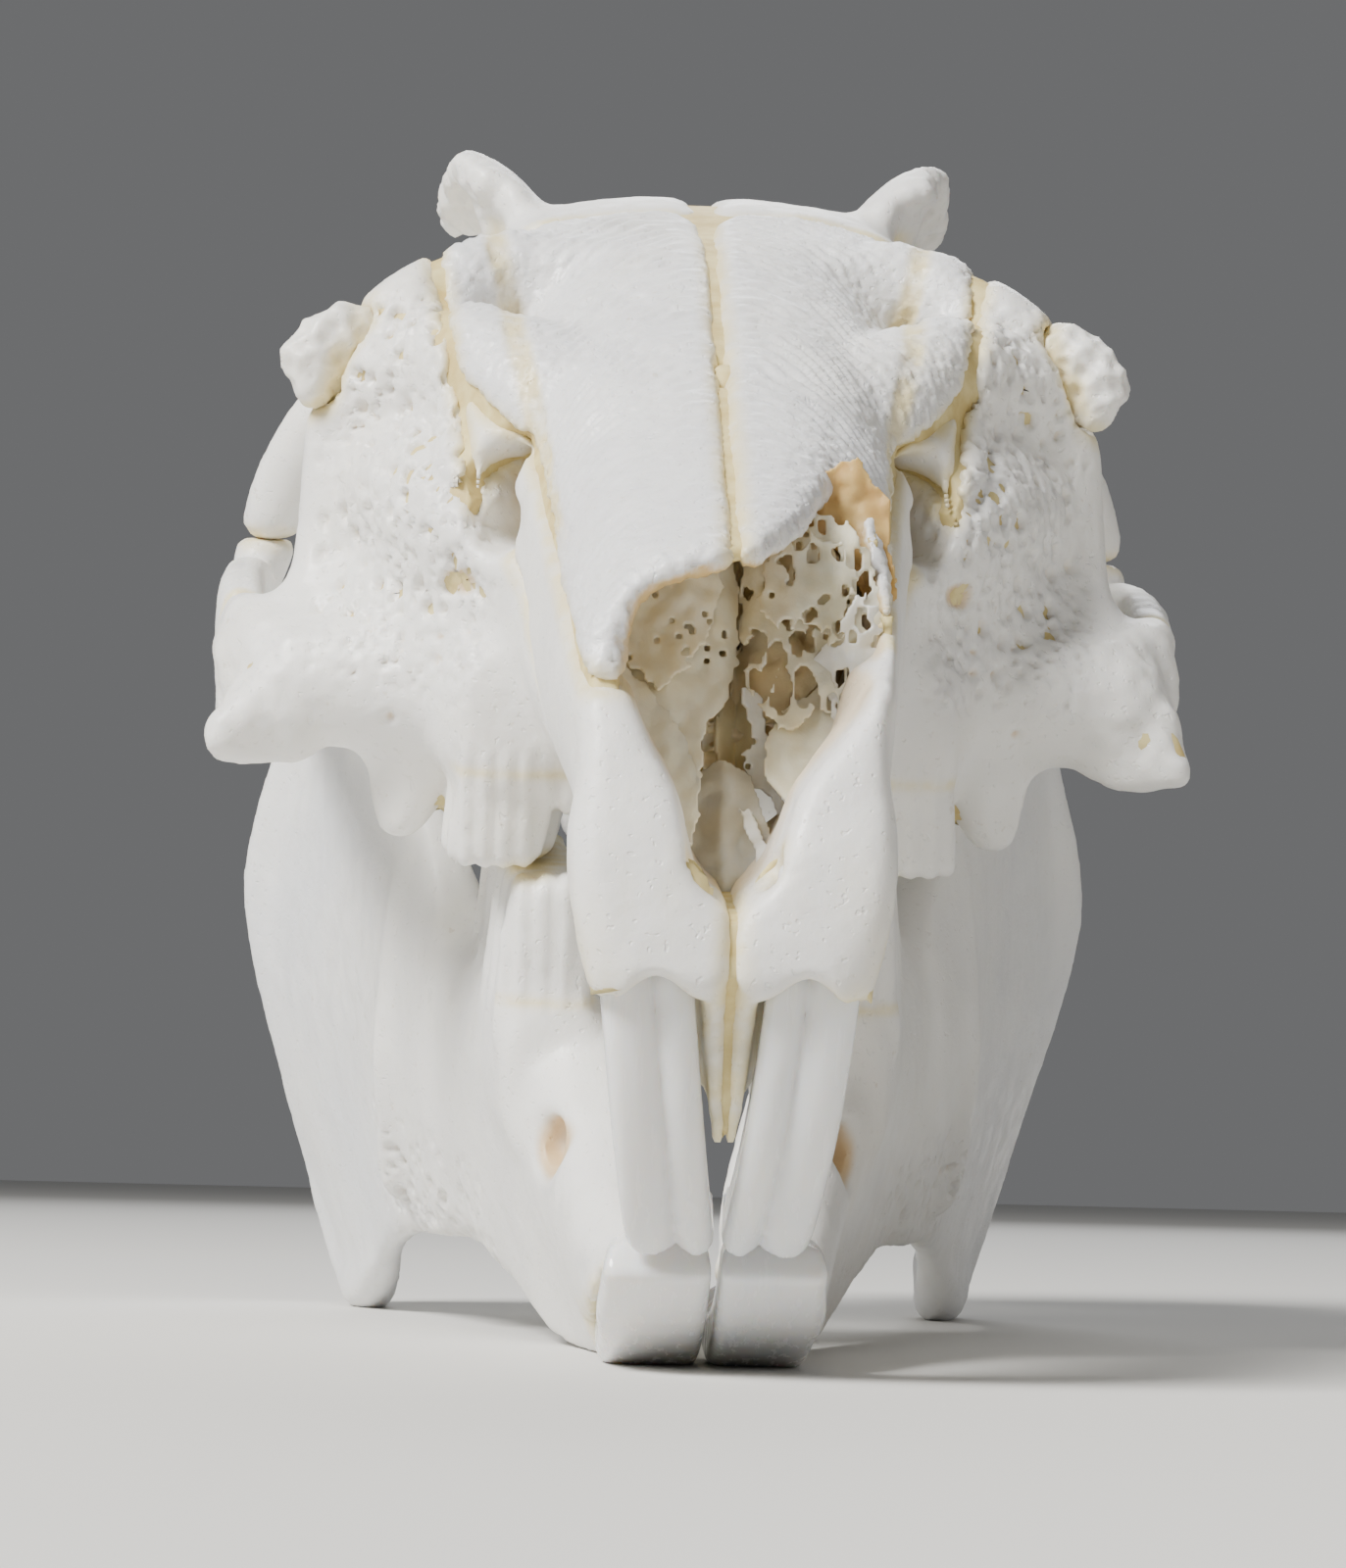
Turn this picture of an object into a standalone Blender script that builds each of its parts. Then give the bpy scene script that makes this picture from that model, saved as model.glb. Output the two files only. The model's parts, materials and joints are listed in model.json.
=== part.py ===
# A rabbit skull with its lower jaw, life size, resting on the jaw as on a museum shelf.
#
# Bones are modelled in the skull's own frame: x across, y backwards from the tips of the
# upper front teeth, z up, in millimetres, with the chewing surface of the cheek teeth level.
# The skull faces -y, so its left side is at +x. Each bone is built from lofts, tubes, plates
# and balls that a voxel remesh fuses, and is cut from its neighbours along its sutures with
# a thin gap. The finished bones are then tipped until the jaw rests on its feet.
import math

import bmesh
import bpy
import numpy as np
from mathutils import Matrix, Vector

MM = 0.001
SUTURE = 0.3
SOCKET_GAP = 0.35
VOXEL = 0.42
FLAT_DEPTH = 0.25

OCCLUSAL_Z = 8.2
BITE_GAP = 0.4
CHEEK_TOOTH_START = 20.6
CHEEK_TOOTH_LENGTH = 2.95
UPPER_CHEEK_TEETH = 6
LOWER_CHEEK_TEETH = 5

INCISOR_ARC_CENTRE = (8.6, 6.5)
INCISOR_ARC_RADIUS = 12.0
INCISOR_ROOT_ANGLE = 154
INCISOR_TIP_ANGLE = 223
# The outer face of the lower front tooth in side view, from its root to its tip.
LOWER_INCISOR_PATH = [(13.0, -8.2), (9.0, -7.8), (5.2, -6.3), (2.2, -4.5), (-0.1, -2.4)]

# Stations of the snout: y, lowest z, highest z, half width, narrowing of the floor.
SNOUT = [
    (-4.4, 8.0, 18.0, 3.9, 0.15),
    (-2.4, 7.5, 20.4, 5.0, 0.20),
    (1.0, 8.0, 21.3, 5.9, 0.22),
    (4.0, 8.6, 22.3, 6.1, 0.20),
    (8.0, 9.2, 23.8, 6.4, 0.15),
    (14.0, 9.8, 26.2, 7.0, 0.10),
    (20.0, 10.4, 28.6, 7.7, 0.05),
    (26.0, 11.0, 30.9, 8.4, 0.0),
    (32.0, 11.4, 32.9, 9.0, 0.0),
    (40.0, 12.0, 34.5, 9.2, 0.0),
]
NASAL_CAVITY = [
    (3.0, 11.0, 20.8, 4.9, 0.55),
    (8.0, 11.6, 22.6, 5.4, 0.35),
    (14.0, 12.2, 25.0, 6.0, 0.30),
    (20.0, 12.8, 27.4, 6.7, 0.25),
    (26.0, 13.6, 29.6, 7.3, 0.25),
    (31.0, 15.0, 31.2, 7.4, 0.30),
    (39.6, 18.0, 32.0, 7.0, 0.30),
]
# The nose opening seen from the front, as x and z. The nasal bone covers more of it on the right.
NOSE_OPENING = [(0, 10.2), (1.0, 10.6), (1.6, 12.0), (2.1, 13.8), (3.3, 15.3), (4.4, 16.6),
                (4.9, 18.0), (4.8, 19.0), (3.8, 19.8), (2.0, 20.5), (0, 20.7), (-2.0, 20.5),
                (-3.1, 19.8), (-3.6, 19.0), (-3.6, 18.0), (-3.4, 16.6), (-2.8, 15.3), (-1.9, 13.8),
                (-1.5, 12.0), (-1.0, 10.6)]
# The broken front edge of the nasal bones seen from above, from the right side to the left.
BROKEN_EDGE = [(-9, -0.9), (-5.0, -0.8), (-4.5, -0.2), (-4.3, 0.9), (-3.6, 0.8), (-3.0, 1.5),
               (-2.1, 1.3), (-1.3, 1.9), (-0.5, 1.6), (0.1, 2.3), (0.8, 2.6), (1.3, 3.6), (2.1, 5.4),
               (2.8, 7.4), (3.2, 9.0), (3.7, 12.0), (4.1, 13.4), (4.6, 11.0), (5.0, 9.5), (5.2, 7.0),
               (5.4, 4.0), (5.8, 0.6), (9, -0.5)]
BRAINCASE = [
    (41.0, 16.5, 32.6, 5.0, 0.3),
    (46.0, 13.6, 34.0, 8.4, 0.3),
    (52.0, 12.2, 34.4, 11.0, 0.3),
    (58.0, 11.4, 33.8, 12.8, 0.3),
    (64.0, 10.8, 32.2, 13.8, 0.3),
    (70.0, 10.2, 29.6, 13.6, 0.3),
    (76.0, 9.8, 26.0, 11.8, 0.25),
    (80.0, 9.6, 22.6, 9.4, 0.2),
    (82.6, 10.4, 19.6, 6.4, 0.1),
]
FOREHEAD = [
    (33.0, 29.0, 33.0, 8.6, 0.0),
    (39.0, 29.0, 34.6, 9.2, 0.0),
    (44.0, 30.0, 35.3, 8.8, 0.0),
    (50.0, 30.0, 35.4, 8.6, 0.0),
    (56.0, 28.0, 34.7, 9.8, 0.0),
    (62.0, 26.0, 32.6, 11.2, 0.0),
    (68.0, 24.0, 29.6, 11.0, 0.0),
]
EYE_WALL = [
    (29.0, 12.5, 30.0, 8.2, 0.0),
    (34.0, 12.5, 31.5, 6.6, 0.1),
    (39.0, 12.5, 32.0, 3.6, 0.1),
    (46.0, 12.0, 32.0, 3.2, 0.1),
    (52.0, 11.5, 31.5, 6.0, 0.2),
]
# The jaw body on the left: y, lowest z, highest z, half width, narrowing of the floor, x.
JAW_BODY = [
    (4.2, -6.2, -3.2, 1.9, 0.3, 2.1),
    (8.0, -7.4, -2.4, 2.4, 0.5, 2.5),
    (13.0, -8.8, -1.7, 2.9, 0.7, 2.9),
    (18.0, -10.2, 0.4, 3.2, 0.8, 3.7),
    (22.0, -10.6, 3.2, 3.3, 0.8, 4.9),
    (28.0, -10.0, 3.6, 3.2, 0.7, 6.4),
    (34.0, -9.6, 4.0, 3.0, 0.5, 8.0),
    (39.0, -10.2, 4.4, 2.4, 0.3, 9.4),
    (44.0, -10.9, 5.0, 1.5, 0.2, 10.9),
]
# The jaw ramus on the left as columns from the lower to the upper edge.
JAW_RAMUS = [
    [(8.6, 35, -10.2), (10.6, 35, -4.0), (10.6, 35, 1.0), (9.4, 35, 4.4)],
    [(10.6, 42, -10.6), (12.6, 41, -3.0), (12.6, 41, 4.0), (11.6, 41.5, 9.4)],
    [(12.2, 49, -12.8), (14.0, 48, -3.0), (13.8, 47, 8.0), (12.8, 46.5, 17.0)],
    [(13.6, 56, -16.6), (16.0, 54, -4.0), (15.6, 53, 9.0), (14.2, 53, 21.6)],
    [(14.4, 61, -18.4), (18.0, 60, -6.0), (18.2, 60, 5.0), (15.4, 58.5, 18.8)],
    [(14.9, 65, -17.8), (19.0, 64, -8.0), (20.0, 63.4, 1.4), (17.0, 61.5, 14.0)],
]
# The wing over the left eye socket, as rows from its root to its free edge.
EYE_WING = [
    [(7.4, 43.0, 33.8), (7.6, 47.0, 34.8), (8.4, 51.0, 34.4), (9.2, 53.0, 33.6)],
    [(8.9, 43.6, 35.4), (9.2, 47.2, 36.9), (10.2, 52.0, 36.2), (11.0, 55.6, 34.4)],
    [(10.4, 44.4, 35.5), (11.1, 47.6, 37.1), (11.8, 52.0, 35.9), (12.2, 56.2, 33.8)],
]
TRIANGLES = {
    "nasal": 420,
    "premaxilla": 980,
    "maxilla": 1700,
    "lacrimal": 160,
    "zygomatic": 420,
    "frontal": 620,
    "braincase": 1500,
    "occipital": 800,
    "bulla": 340,
    "turbinals": 1100,
    "vomer": 160,
    "mandible": 2000,
    "upper_incisor": 300,
    "lower_incisor": 180,
}

BONE = (0.87, 0.84, 0.77)
ENAMEL = (0.90, 0.89, 0.86)
SPONGY_BONE = (0.80, 0.70, 0.50)


def make_collection(name, hidden):
    """A collection for the parts, or a hidden one for the tools that shape them."""
    collection = bpy.data.collections.new(name)
    collection.hide_render = hidden
    bpy.context.scene.collection.children.link(collection)
    return collection


def make_material(name, colour, roughness):
    """A plain Principled material."""
    material = bpy.data.materials.new(name)
    material.use_nodes = True
    shader = material.node_tree.nodes["Principled BSDF"]
    shader.inputs["Base Color"].default_value = (*colour, 1.0)
    shader.inputs["Roughness"].default_value = roughness
    shader.inputs["Metallic"].default_value = 0.0
    return material


def tool_object(name, data):
    """An object in the hidden collection of tools."""
    obj = bpy.data.objects.new(name, data)
    obj.hide_render = True
    obj.display_type = "WIRE"
    TOOLS.objects.link(obj)
    return obj


def object_from(bm, name, scale=MM):
    """A tool object from a bmesh, by default one in millimetres."""
    bmesh.ops.scale(bm, vec=(scale, scale, scale), verts=bm.verts)
    bmesh.ops.recalc_face_normals(bm, faces=bm.faces)
    if bm.calc_volume(signed=True) < 0:
        bmesh.ops.reverse_faces(bm, faces=bm.faces)
    mesh = bpy.data.meshes.new(name)
    bm.to_mesh(mesh)
    bm.free()
    return tool_object(name, mesh)


def apply_modifiers(obj):
    """Replace the mesh by what its modifiers make."""
    bpy.context.view_layer.update()
    graph = bpy.context.evaluated_depsgraph_get()
    mesh = bpy.data.meshes.new_from_object(obj.evaluated_get(graph))
    obj.modifiers.clear()
    obj.data = mesh
    return obj


# Simple closed solids

def ball(centre, radii, turn=(0, 0, 0), segments=24):
    """An ellipsoid with its own tilt, in degrees."""
    bm = bmesh.new()
    bmesh.ops.create_uvsphere(bm, u_segments=segments, v_segments=segments // 2, radius=1.0)
    rotation = Matrix.Identity(4)
    for axis, angle in zip("XYZ", turn):
        rotation = Matrix.Rotation(math.radians(angle), 4, axis) @ rotation
    place = Matrix.Translation(centre) @ rotation @ Matrix.Diagonal((*radii, 1.0))
    bmesh.ops.transform(bm, matrix=place, verts=bm.verts)
    return object_from(bm, "ball")


def box(low, high):
    """A box between two corners."""
    bm = bmesh.new()
    bmesh.ops.create_cube(bm, size=1.0)
    low, high = Vector(low), Vector(high)
    place = Matrix.Translation((low + high) / 2) @ Matrix.Diagonal((*(high - low), 1.0))
    bmesh.ops.transform(bm, matrix=place, verts=bm.verts)
    return object_from(bm, "box")


def skin(rings):
    """A closed solid over a row of rings that have the same number of points."""
    bm = bmesh.new()
    rows = [[bm.verts.new(point) for point in ring] for ring in rings]
    for near, far in zip(rows, rows[1:]):
        for i in range(len(near)):
            j = (i + 1) % len(near)
            bm.faces.new((near[i], near[j], far[j], far[i]))
    bm.faces.new(rows[0])
    bm.faces.new(reversed(rows[-1]))
    return object_from(bm, "skin")


def smooth_line(points, steps=5):
    """A Catmull-Rom curve through the points, ends included."""
    points = [Vector(point) for point in points]
    padded = [2 * points[0] - points[1], *points, 2 * points[-1] - points[-2]]
    line = []
    for p0, p1, p2, p3 in zip(padded, padded[1:], padded[2:], padded[3:]):
        for s in range(steps):
            t = s / steps
            line.append(0.5 * (2 * p1 + (p2 - p0) * t + (2 * p0 - 5 * p1 + 4 * p2 - p3) * t * t
                               + (3 * p1 - p0 - 3 * p2 + p3) * t**3))
    return line + [points[-1]]


def tube(points, radii, steps=4, sides=12):
    """A smooth round rod through the points, with a radius at each and rounded ends."""
    line = smooth_line([(*point, radius) for point, radius in zip(points, radii)], steps)
    centres = [Vector(item[:3]) for item in line]
    rings = []
    side = None
    for i, centre in enumerate(centres):
        radius = line[i][3]
        along = (centres[min(i + 1, len(line) - 1)] - centres[max(i - 1, 0)]).normalized()
        side = side or along.orthogonal()
        side = (side - along * side.dot(along)).normalized()
        up = along.cross(side)
        turns = [2 * math.pi * k / sides for k in range(sides)]
        ring = [(side * math.cos(a) + up * math.sin(a)) * radius for a in turns]
        if i == 0:
            rings.append([centre - along * radius * 0.7 + point * 0.6 for point in ring])
        rings.append([centre + point for point in ring])
        if i == len(line) - 1:
            rings.append([centre + along * radius * 0.7 + point * 0.6 for point in ring])
    return skin(rings)


def section_ring(y, low, high, half_width, pinch=0.0, x=0.0, squareness=2.3, count=36):
    """The points of one rounded cross-section, narrowed towards its floor by pinch."""
    middle, half_height = (low + high) / 2, (high - low) / 2
    ring = []
    for step in range(count):
        c, s = math.cos(2 * math.pi * step / count), math.sin(2 * math.pi * step / count)
        across = math.copysign(abs(c) ** (2 / squareness), c)
        up = math.copysign(abs(s) ** (2 / squareness), s)
        width = half_width * (1 - pinch * (1 - up) / 2)
        ring.append(Vector((x + width * across, y, middle + half_height * up)))
    return ring


def loft(stations, spacing=1.5, squareness=2.3):
    """A closed solid through cross-sections set along y."""
    columns = list(zip(*stations))
    count = max(2, round((columns[0][-1] - columns[0][0]) / spacing) + 1)
    rings = []
    for y in np.linspace(columns[0][0], columns[0][-1], count):
        values = [float(np.interp(y, columns[0], column)) for column in columns[1:]]
        rings.append(section_ring(float(y), *values, squareness=squareness))
    return skin(rings)


def prism(outline, low, high, axis="X"):
    """A flat outline pushed along an axis. Its points are the other two axes in order."""
    place = {
        "X": lambda a, b, depth: (depth, a, b),
        "Y": lambda a, b, depth: (a, depth, b),
        "Z": lambda a, b, depth: (a, b, depth),
    }[axis]
    return skin([[place(a, b, depth) for a, b in outline] for depth in (low, high)])


def sheet(rows, thickness, levels=2):
    """A curved plate over a grid of points."""
    bm = bmesh.new()
    grid = [[bm.verts.new(point) for point in row] for row in rows]
    for near, far in zip(grid, grid[1:]):
        for i in range(len(near) - 1):
            bm.faces.new((near[i], near[i + 1], far[i + 1], far[i]))
    obj = object_from(bm, "sheet")
    if levels:
        rounding = obj.modifiers.new("rounding", "SUBSURF")
        rounding.levels = rounding.render_levels = levels
    plate = obj.modifiers.new("plate", "SOLIDIFY")
    plate.thickness = thickness * MM
    plate.offset = 0
    return apply_modifiers(obj)


def ribbon(near_edge, far_edge, thickness=SUTURE):
    """A thin curved wall between two lines, that parts two bones."""
    return sheet([smooth_line(near_edge), smooth_line(far_edge)], thickness, levels=0)


# Work on solids

def join(pieces):
    """One tool object that holds all the pieces' faces. The pieces are removed."""
    bm = bmesh.new()
    for piece in pieces:
        bm.from_mesh(piece.data)
        bpy.data.objects.remove(piece)
    mesh = bpy.data.meshes.new("joined")
    bm.to_mesh(mesh)
    bm.free()
    return tool_object("joined", mesh)


def fuse(pieces, voxel=VOXEL, smooth=4):
    """Join overlapping pieces into one smooth solid."""
    obj = join(pieces)
    modifier = obj.modifiers.new("fuse", "REMESH")
    modifier.mode = "VOXEL"
    modifier.voxel_size = voxel * MM
    if smooth:
        relax = obj.modifiers.new("relax", "SMOOTH")
        relax.factor = 0.5
        relax.iterations = smooth
    return apply_modifiers(obj)


def mirrored(obj):
    """A copy on the other side of the skull's middle plane."""
    bm = bmesh.new()
    bm.from_mesh(obj.data)
    bmesh.ops.scale(bm, vec=(-1, 1, 1), verts=bm.verts)
    bmesh.ops.reverse_faces(bm, faces=bm.faces)
    mesh = bpy.data.meshes.new("mirrored")
    bm.to_mesh(mesh)
    bm.free()
    return tool_object("mirrored", mesh)


def both(pieces):
    """The pieces of one side and their mirror images."""
    return [item for piece in pieces for item in (piece, mirrored(piece))]


def combine(obj, other, operation="DIFFERENCE", keep_other=False):
    """A Boolean that is applied. MANIFOLD, because EXACT takes minutes on the dense skins."""
    modifier = obj.modifiers.new("combine", "BOOLEAN")
    modifier.object = other
    modifier.operation = operation
    modifier.solver = "MANIFOLD"
    apply_modifiers(obj)
    if not keep_other:
        bpy.data.objects.remove(other)
    return obj


def cut(obj, cutters):
    """Take several closed solids away, joined into one first because that is quicker."""
    tool = cutters[0]
    for other in cutters[1:]:
        combine(tool, other, "UNION")
    return combine(obj, tool)


def grown(obj, distance=SUTURE):
    """A copy whose surface stands out by a distance, to cut a neighbour clear of the piece."""
    bm = bmesh.new()
    bm.from_mesh(obj.data)
    bm.normal_update()
    for vertex in bm.verts:
        vertex.co += vertex.normal * distance * MM * vertex.calc_shell_factor()
    mesh = bpy.data.meshes.new("grown")
    bm.to_mesh(mesh)
    bm.free()
    return fuse([tool_object("grown", mesh)], smooth=0)


def bodies_of(obj):
    """The closed skins of a mesh as objects of their own, the largest first."""
    mesh = obj.data
    parent = list(range(len(mesh.vertices)))

    def root(i):
        while parent[i] != i:
            parent[i] = parent[parent[i]]
            i = parent[i]
        return i

    for edge in mesh.edges:
        a, b = root(edge.vertices[0]), root(edge.vertices[1])
        if a != b:
            parent[a] = b
    groups = {}
    for polygon in mesh.polygons:
        groups.setdefault(root(polygon.vertices[0]), []).append(polygon)
    made = []
    for polygons in sorted(groups.values(), key=len, reverse=True):
        numbers = {}
        points, faces = [], []
        for polygon in polygons:
            face = []
            for index in polygon.vertices:
                if index not in numbers:
                    numbers[index] = len(points)
                    points.append(mesh.vertices[index].co.copy())
                face.append(numbers[index])
            faces.append(face)
        piece = bpy.data.meshes.new("body")
        piece.from_pydata(points, [], faces)
        made.append(tool_object("body", piece))
    bpy.data.objects.remove(obj)
    return made


def largest_body(obj):
    """Keep the largest closed skin and drop loose scraps."""
    bodies = bodies_of(obj)
    for body in bodies[1:]:
        bpy.data.objects.remove(body)
    return bodies[0]


def take_body(bodies, inside):
    """Take out of a list the largest body whose middle passes a test, given in millimetres."""
    for body in bodies:
        points = [vertex.co for vertex in body.data.vertices]
        middle = sum(points, Vector()) / len(points) / MM
        if inside(*middle):
            bodies.remove(body)
            return body
    raise ValueError("no body passes the test")


def thin_out(obj, triangles):
    """Reduce a dense skin to about the given number of triangles."""
    bm = bmesh.new()
    bm.from_mesh(obj.data)
    bmesh.ops.triangulate(bm, faces=bm.faces)
    now = len(bm.faces)
    bm.to_mesh(obj.data)
    bm.free()
    if now > triangles:
        modifier = obj.modifiers.new("thin", "DECIMATE")
        modifier.ratio = triangles / now
        apply_modifiers(obj)
    return obj


def finish(obj, name, material, kind):
    """Name a finished bone and move it to the parts."""
    obj = largest_body(obj)
    thin_out(obj, TRIANGLES[kind])
    TOOLS.objects.unlink(obj)
    PARTS.objects.link(obj)
    obj.name = obj.data.name = name
    obj.hide_render = False
    obj.display_type = "TEXTURED"
    obj.data.materials.clear()
    obj.data.materials.append(material)
    obj.data.shade_smooth()
    return obj


def finish_pair(pair, name, material, kind):
    """Finish the left piece and the right piece of one kind of bone."""
    for side, obj in zip(("left", "right"), pair):
        finish(obj, f"{name}_{side}", material, kind)


# Teeth

def incisor_ring(angle, outline, swell=0.0, bevel=0.0):
    """One cross-section of the left upper front tooth. The outline is given as shares of its
    half width and as depths behind its face."""
    t = (angle - INCISOR_ROOT_ANGLE) / (INCISOR_TIP_ANGLE - INCISOR_ROOT_ANGLE)
    centre = 3.0 - 1.44 * max(t, 0.0) ** 1.2
    half = 1.46 - 0.05 * t + swell
    a = math.radians(angle)
    ring = []
    for u, depth in outline:
        radius = INCISOR_ARC_RADIUS - depth * (1 + swell * 0.35) + swell
        ring.append((centre + half * u,
                     INCISOR_ARC_CENTRE[0] + radius * math.cos(a),
                     INCISOR_ARC_CENTRE[1] + radius * math.sin(a) + bevel * max(0.0, depth)))
    return ring


def upper_incisor(swell=0.0):
    """The left upper front tooth, a curved prism with a deep groove down its face. With a swell
    it is a plain block that stands out by that much, for its socket."""
    outline = [(-1.0, 0.45), (-0.86, 0.1), (-0.58, 0.0), (-0.3, 0.16), (-0.14, 0.5), (0.02, 0.16),
               (0.36, 0.0), (0.78, 0.06), (0.95, 0.28), (1.0, 0.6), (0.95, 1.8), (0.45, 2.4),
               (-0.45, 2.4), (-0.95, 1.8)]
    if swell:
        outline = [(-1, 0), (1, 0), (1, 2.5), (-1, 2.5)]
    angles = [float(angle) for angle in np.linspace(INCISOR_ROOT_ANGLE, INCISOR_TIP_ANGLE, 16)]
    return skin([incisor_ring(angle, outline, swell, 0.45 if angle == angles[-1] and not swell else 0.0)
                 for angle in angles])


def incisor_sheath():
    """The bone that wraps the root of the left upper front tooth, before its socket is cut."""
    outline = []
    for step in range(20):
        c, s = math.cos(math.pi * step / 10), math.sin(math.pi * step / 10)
        outline.append((math.copysign(abs(c) ** 0.5, c), 1.2 - 1.25 * math.copysign(abs(s) ** 0.5, s)))
    return skin([incisor_ring(float(angle), outline, 0.88) for angle in np.linspace(144, 177, 10)])


def lower_incisor(swell=0.0):
    """The left lower front tooth, a flat-faced chisel that leans forward under the upper one."""
    outline = [(-1, 0.12), (-0.9, 0.0), (0.85, 0.0), (1, 0.2), (0.9, 0.8), (0.6, 1.0), (-0.7, 1.0),
               (-0.95, 0.85)]
    path = smooth_line(LOWER_INCISOR_PATH, 3)
    rings = []
    for i, (y, z) in enumerate(path):
        ahead, behind = path[min(i + 1, len(path) - 1)], path[max(i - 1, 0)]
        along = (ahead - behind).normalized()
        chisel = 0.55 if i == len(path) - 1 else 1.0
        thick = 2.3 * chisel + 2 * swell
        ring = []
        for u, depth in outline:
            offset = swell - thick * depth
            ring.append((1.95 + (1.75 + swell) * u, y - offset * along.y, z + offset * along.x))
        rings.append(ring)
    return skin(rings)


def cheek_teeth(upper):
    """One row of ridged cheek teeth on the left side."""
    teeth = []
    for index in range(UPPER_CHEEK_TEETH if upper else LOWER_CHEEK_TEETH):
        last = upper and index == UPPER_CHEEK_TEETH - 1
        length = CHEEK_TOOTH_LENGTH * (0.6 if last else 1.0)
        y = CHEEK_TOOTH_START + index * CHEEK_TOOTH_LENGTH + length / 2
        if upper:
            x, lean, half = 8.1 - 0.1 * index, 0.12, 2.1 * (0.8 if index == 0 or last else 1.0)
            low, high = OCCLUSAL_Z + BITE_GAP / 2, OCCLUSAL_Z + 6.5
        else:
            x, lean, half = 5.6 + 0.3 * index, 0.1, 1.6
            low, high = OCCLUSAL_Z - 7.0, OCCLUSAL_Z - BITE_GAP / 2
        for lobe in (-0.25, 0.25):
            outline = [(-half, -0.13), (-half * 0.5, -0.21), (half * 0.6, -0.2), (half, -0.12),
                       (half + 0.2, 0), (half, 0.12), (half * 0.6, 0.2), (-half * 0.5, 0.21),
                       (-half, 0.13), (-half - 0.2, 0)]
            rings = []
            for z in (low, high):
                shift = x - (z - OCCLUSAL_Z) * lean
                rings.append([(shift + a, y + length * (lobe + b * 1.2), z) for a, b in outline])
            teeth.append(skin(rings))
        teeth.append(box((x - half * 0.7, y - length * 0.55, low + 0.3),
                         (x + half * 0.7, y + length * 0.55, high - 0.3)))
    return teeth


# The skull without its jaw

def face_pieces():
    """What flares out of the left side of the snout: cheek plate, eye socket front, tooth bed."""
    tooth_bed = loft([
        (20.0, 11.0, 17.0, 1.8, 0.0, 7.6), (23.0, 10.4, 19.0, 2.7, 0.0, 7.8),
        (30.0, 10.4, 19.0, 2.9, 0.0, 7.6), (36.0, 11.0, 18.0, 2.7, 0.0, 7.0),
        (40.0, 12.5, 17.0, 1.8, 0.0, 6.0)])
    return [
        tube([(4.4, 22, 20), (8.6, 26.6, 21.5), (12.9, 30.6, 22.5)], [4.2, 4.4, 2.6]),
        tube([(5.6, 23.6, 25.4), (9.6, 29.2, 27.4), (13.2, 31.8, 26.6)], [2.8, 2.8, 2.2]),
        tube([(4.6, 23.6, 15.6), (9.0, 27, 17), (13.2, 29.5, 17.6)], [4.2, 4.0, 2.6]),
        tube([(7.6, 35.4, 31.4), (11.6, 33.0, 29.8), (14.2, 32.0, 27.2), (15.2, 31.4, 23), (15.2, 30.4, 19),
              (16.0, 29, 16)], [2.2, 2.0, 1.8, 1.3, 1.5, 2.2]),
        tube([(7.0, 26, 14.5), (12.0, 26.6, 14.8), (16.6, 27.0, 15.0)], [3.6, 3.0, 2.2]),
        tube([(15.8, 27, 15.4), (17.8, 25.6, 13.6), (19.1, 24.6, 12.3)], [2.2, 1.5, 0.9]),
        sheet([[(14.8, 26.6, 16.0), (15.0, 26.2, 13.4), (15.4, 25.9, 11.4)],
               [(16.8, 26.4, 16.0), (17.0, 25.7, 13.4), (17.3, 25.3, 11.4)],
               [(18.4, 26.4, 16.0), (18.8, 25.2, 13.6), (19.2, 24.6, 12.0)]], 1.5),
        tube([(10.6, 27.6, 14.0), (11.6, 27.0, 11.0), (11.9, 26.8, 9.4)], [2.4, 1.7, 1.2]),
        sheet([[(14.6, 25.0, 12.4), (16.6, 26.0, 15.4), (17.4, 28.0, 18.0)],
               [(18.4, 25.6, 12.2), (18.8, 27.6, 15.4), (18.4, 30.0, 18.0)],
               [(18.6, 31.0, 11.8), (19.2, 32.0, 15.0), (18.9, 33.0, 18.2)]], 1.5),
        tooth_bed,
    ]


def arch_piece():
    """The left cheek bar from the cheek plate back to its rear tip."""
    return sheet([
        [(18.0, 28.0, 11.8), (18.6, 28.0, 14.8), (18.2, 28.0, 17.6)],
        [(18.7, 34.0, 11.4), (19.3, 34.0, 15.0), (18.9, 34.0, 18.4)],
        [(19.2, 40.0, 11.6), (19.8, 40.0, 15.2), (19.4, 40.0, 18.8)],
        [(19.7, 46.0, 12.2), (20.2, 46.0, 15.4), (19.8, 46.0, 18.8)],
        [(19.9, 52.0, 13.0), (20.3, 52.0, 15.8), (20.0, 52.0, 18.6)],
        [(19.9, 57.6, 14.0), (20.2, 57.8, 15.2), (20.0, 57.6, 16.4)],
    ], 1.7)


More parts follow.
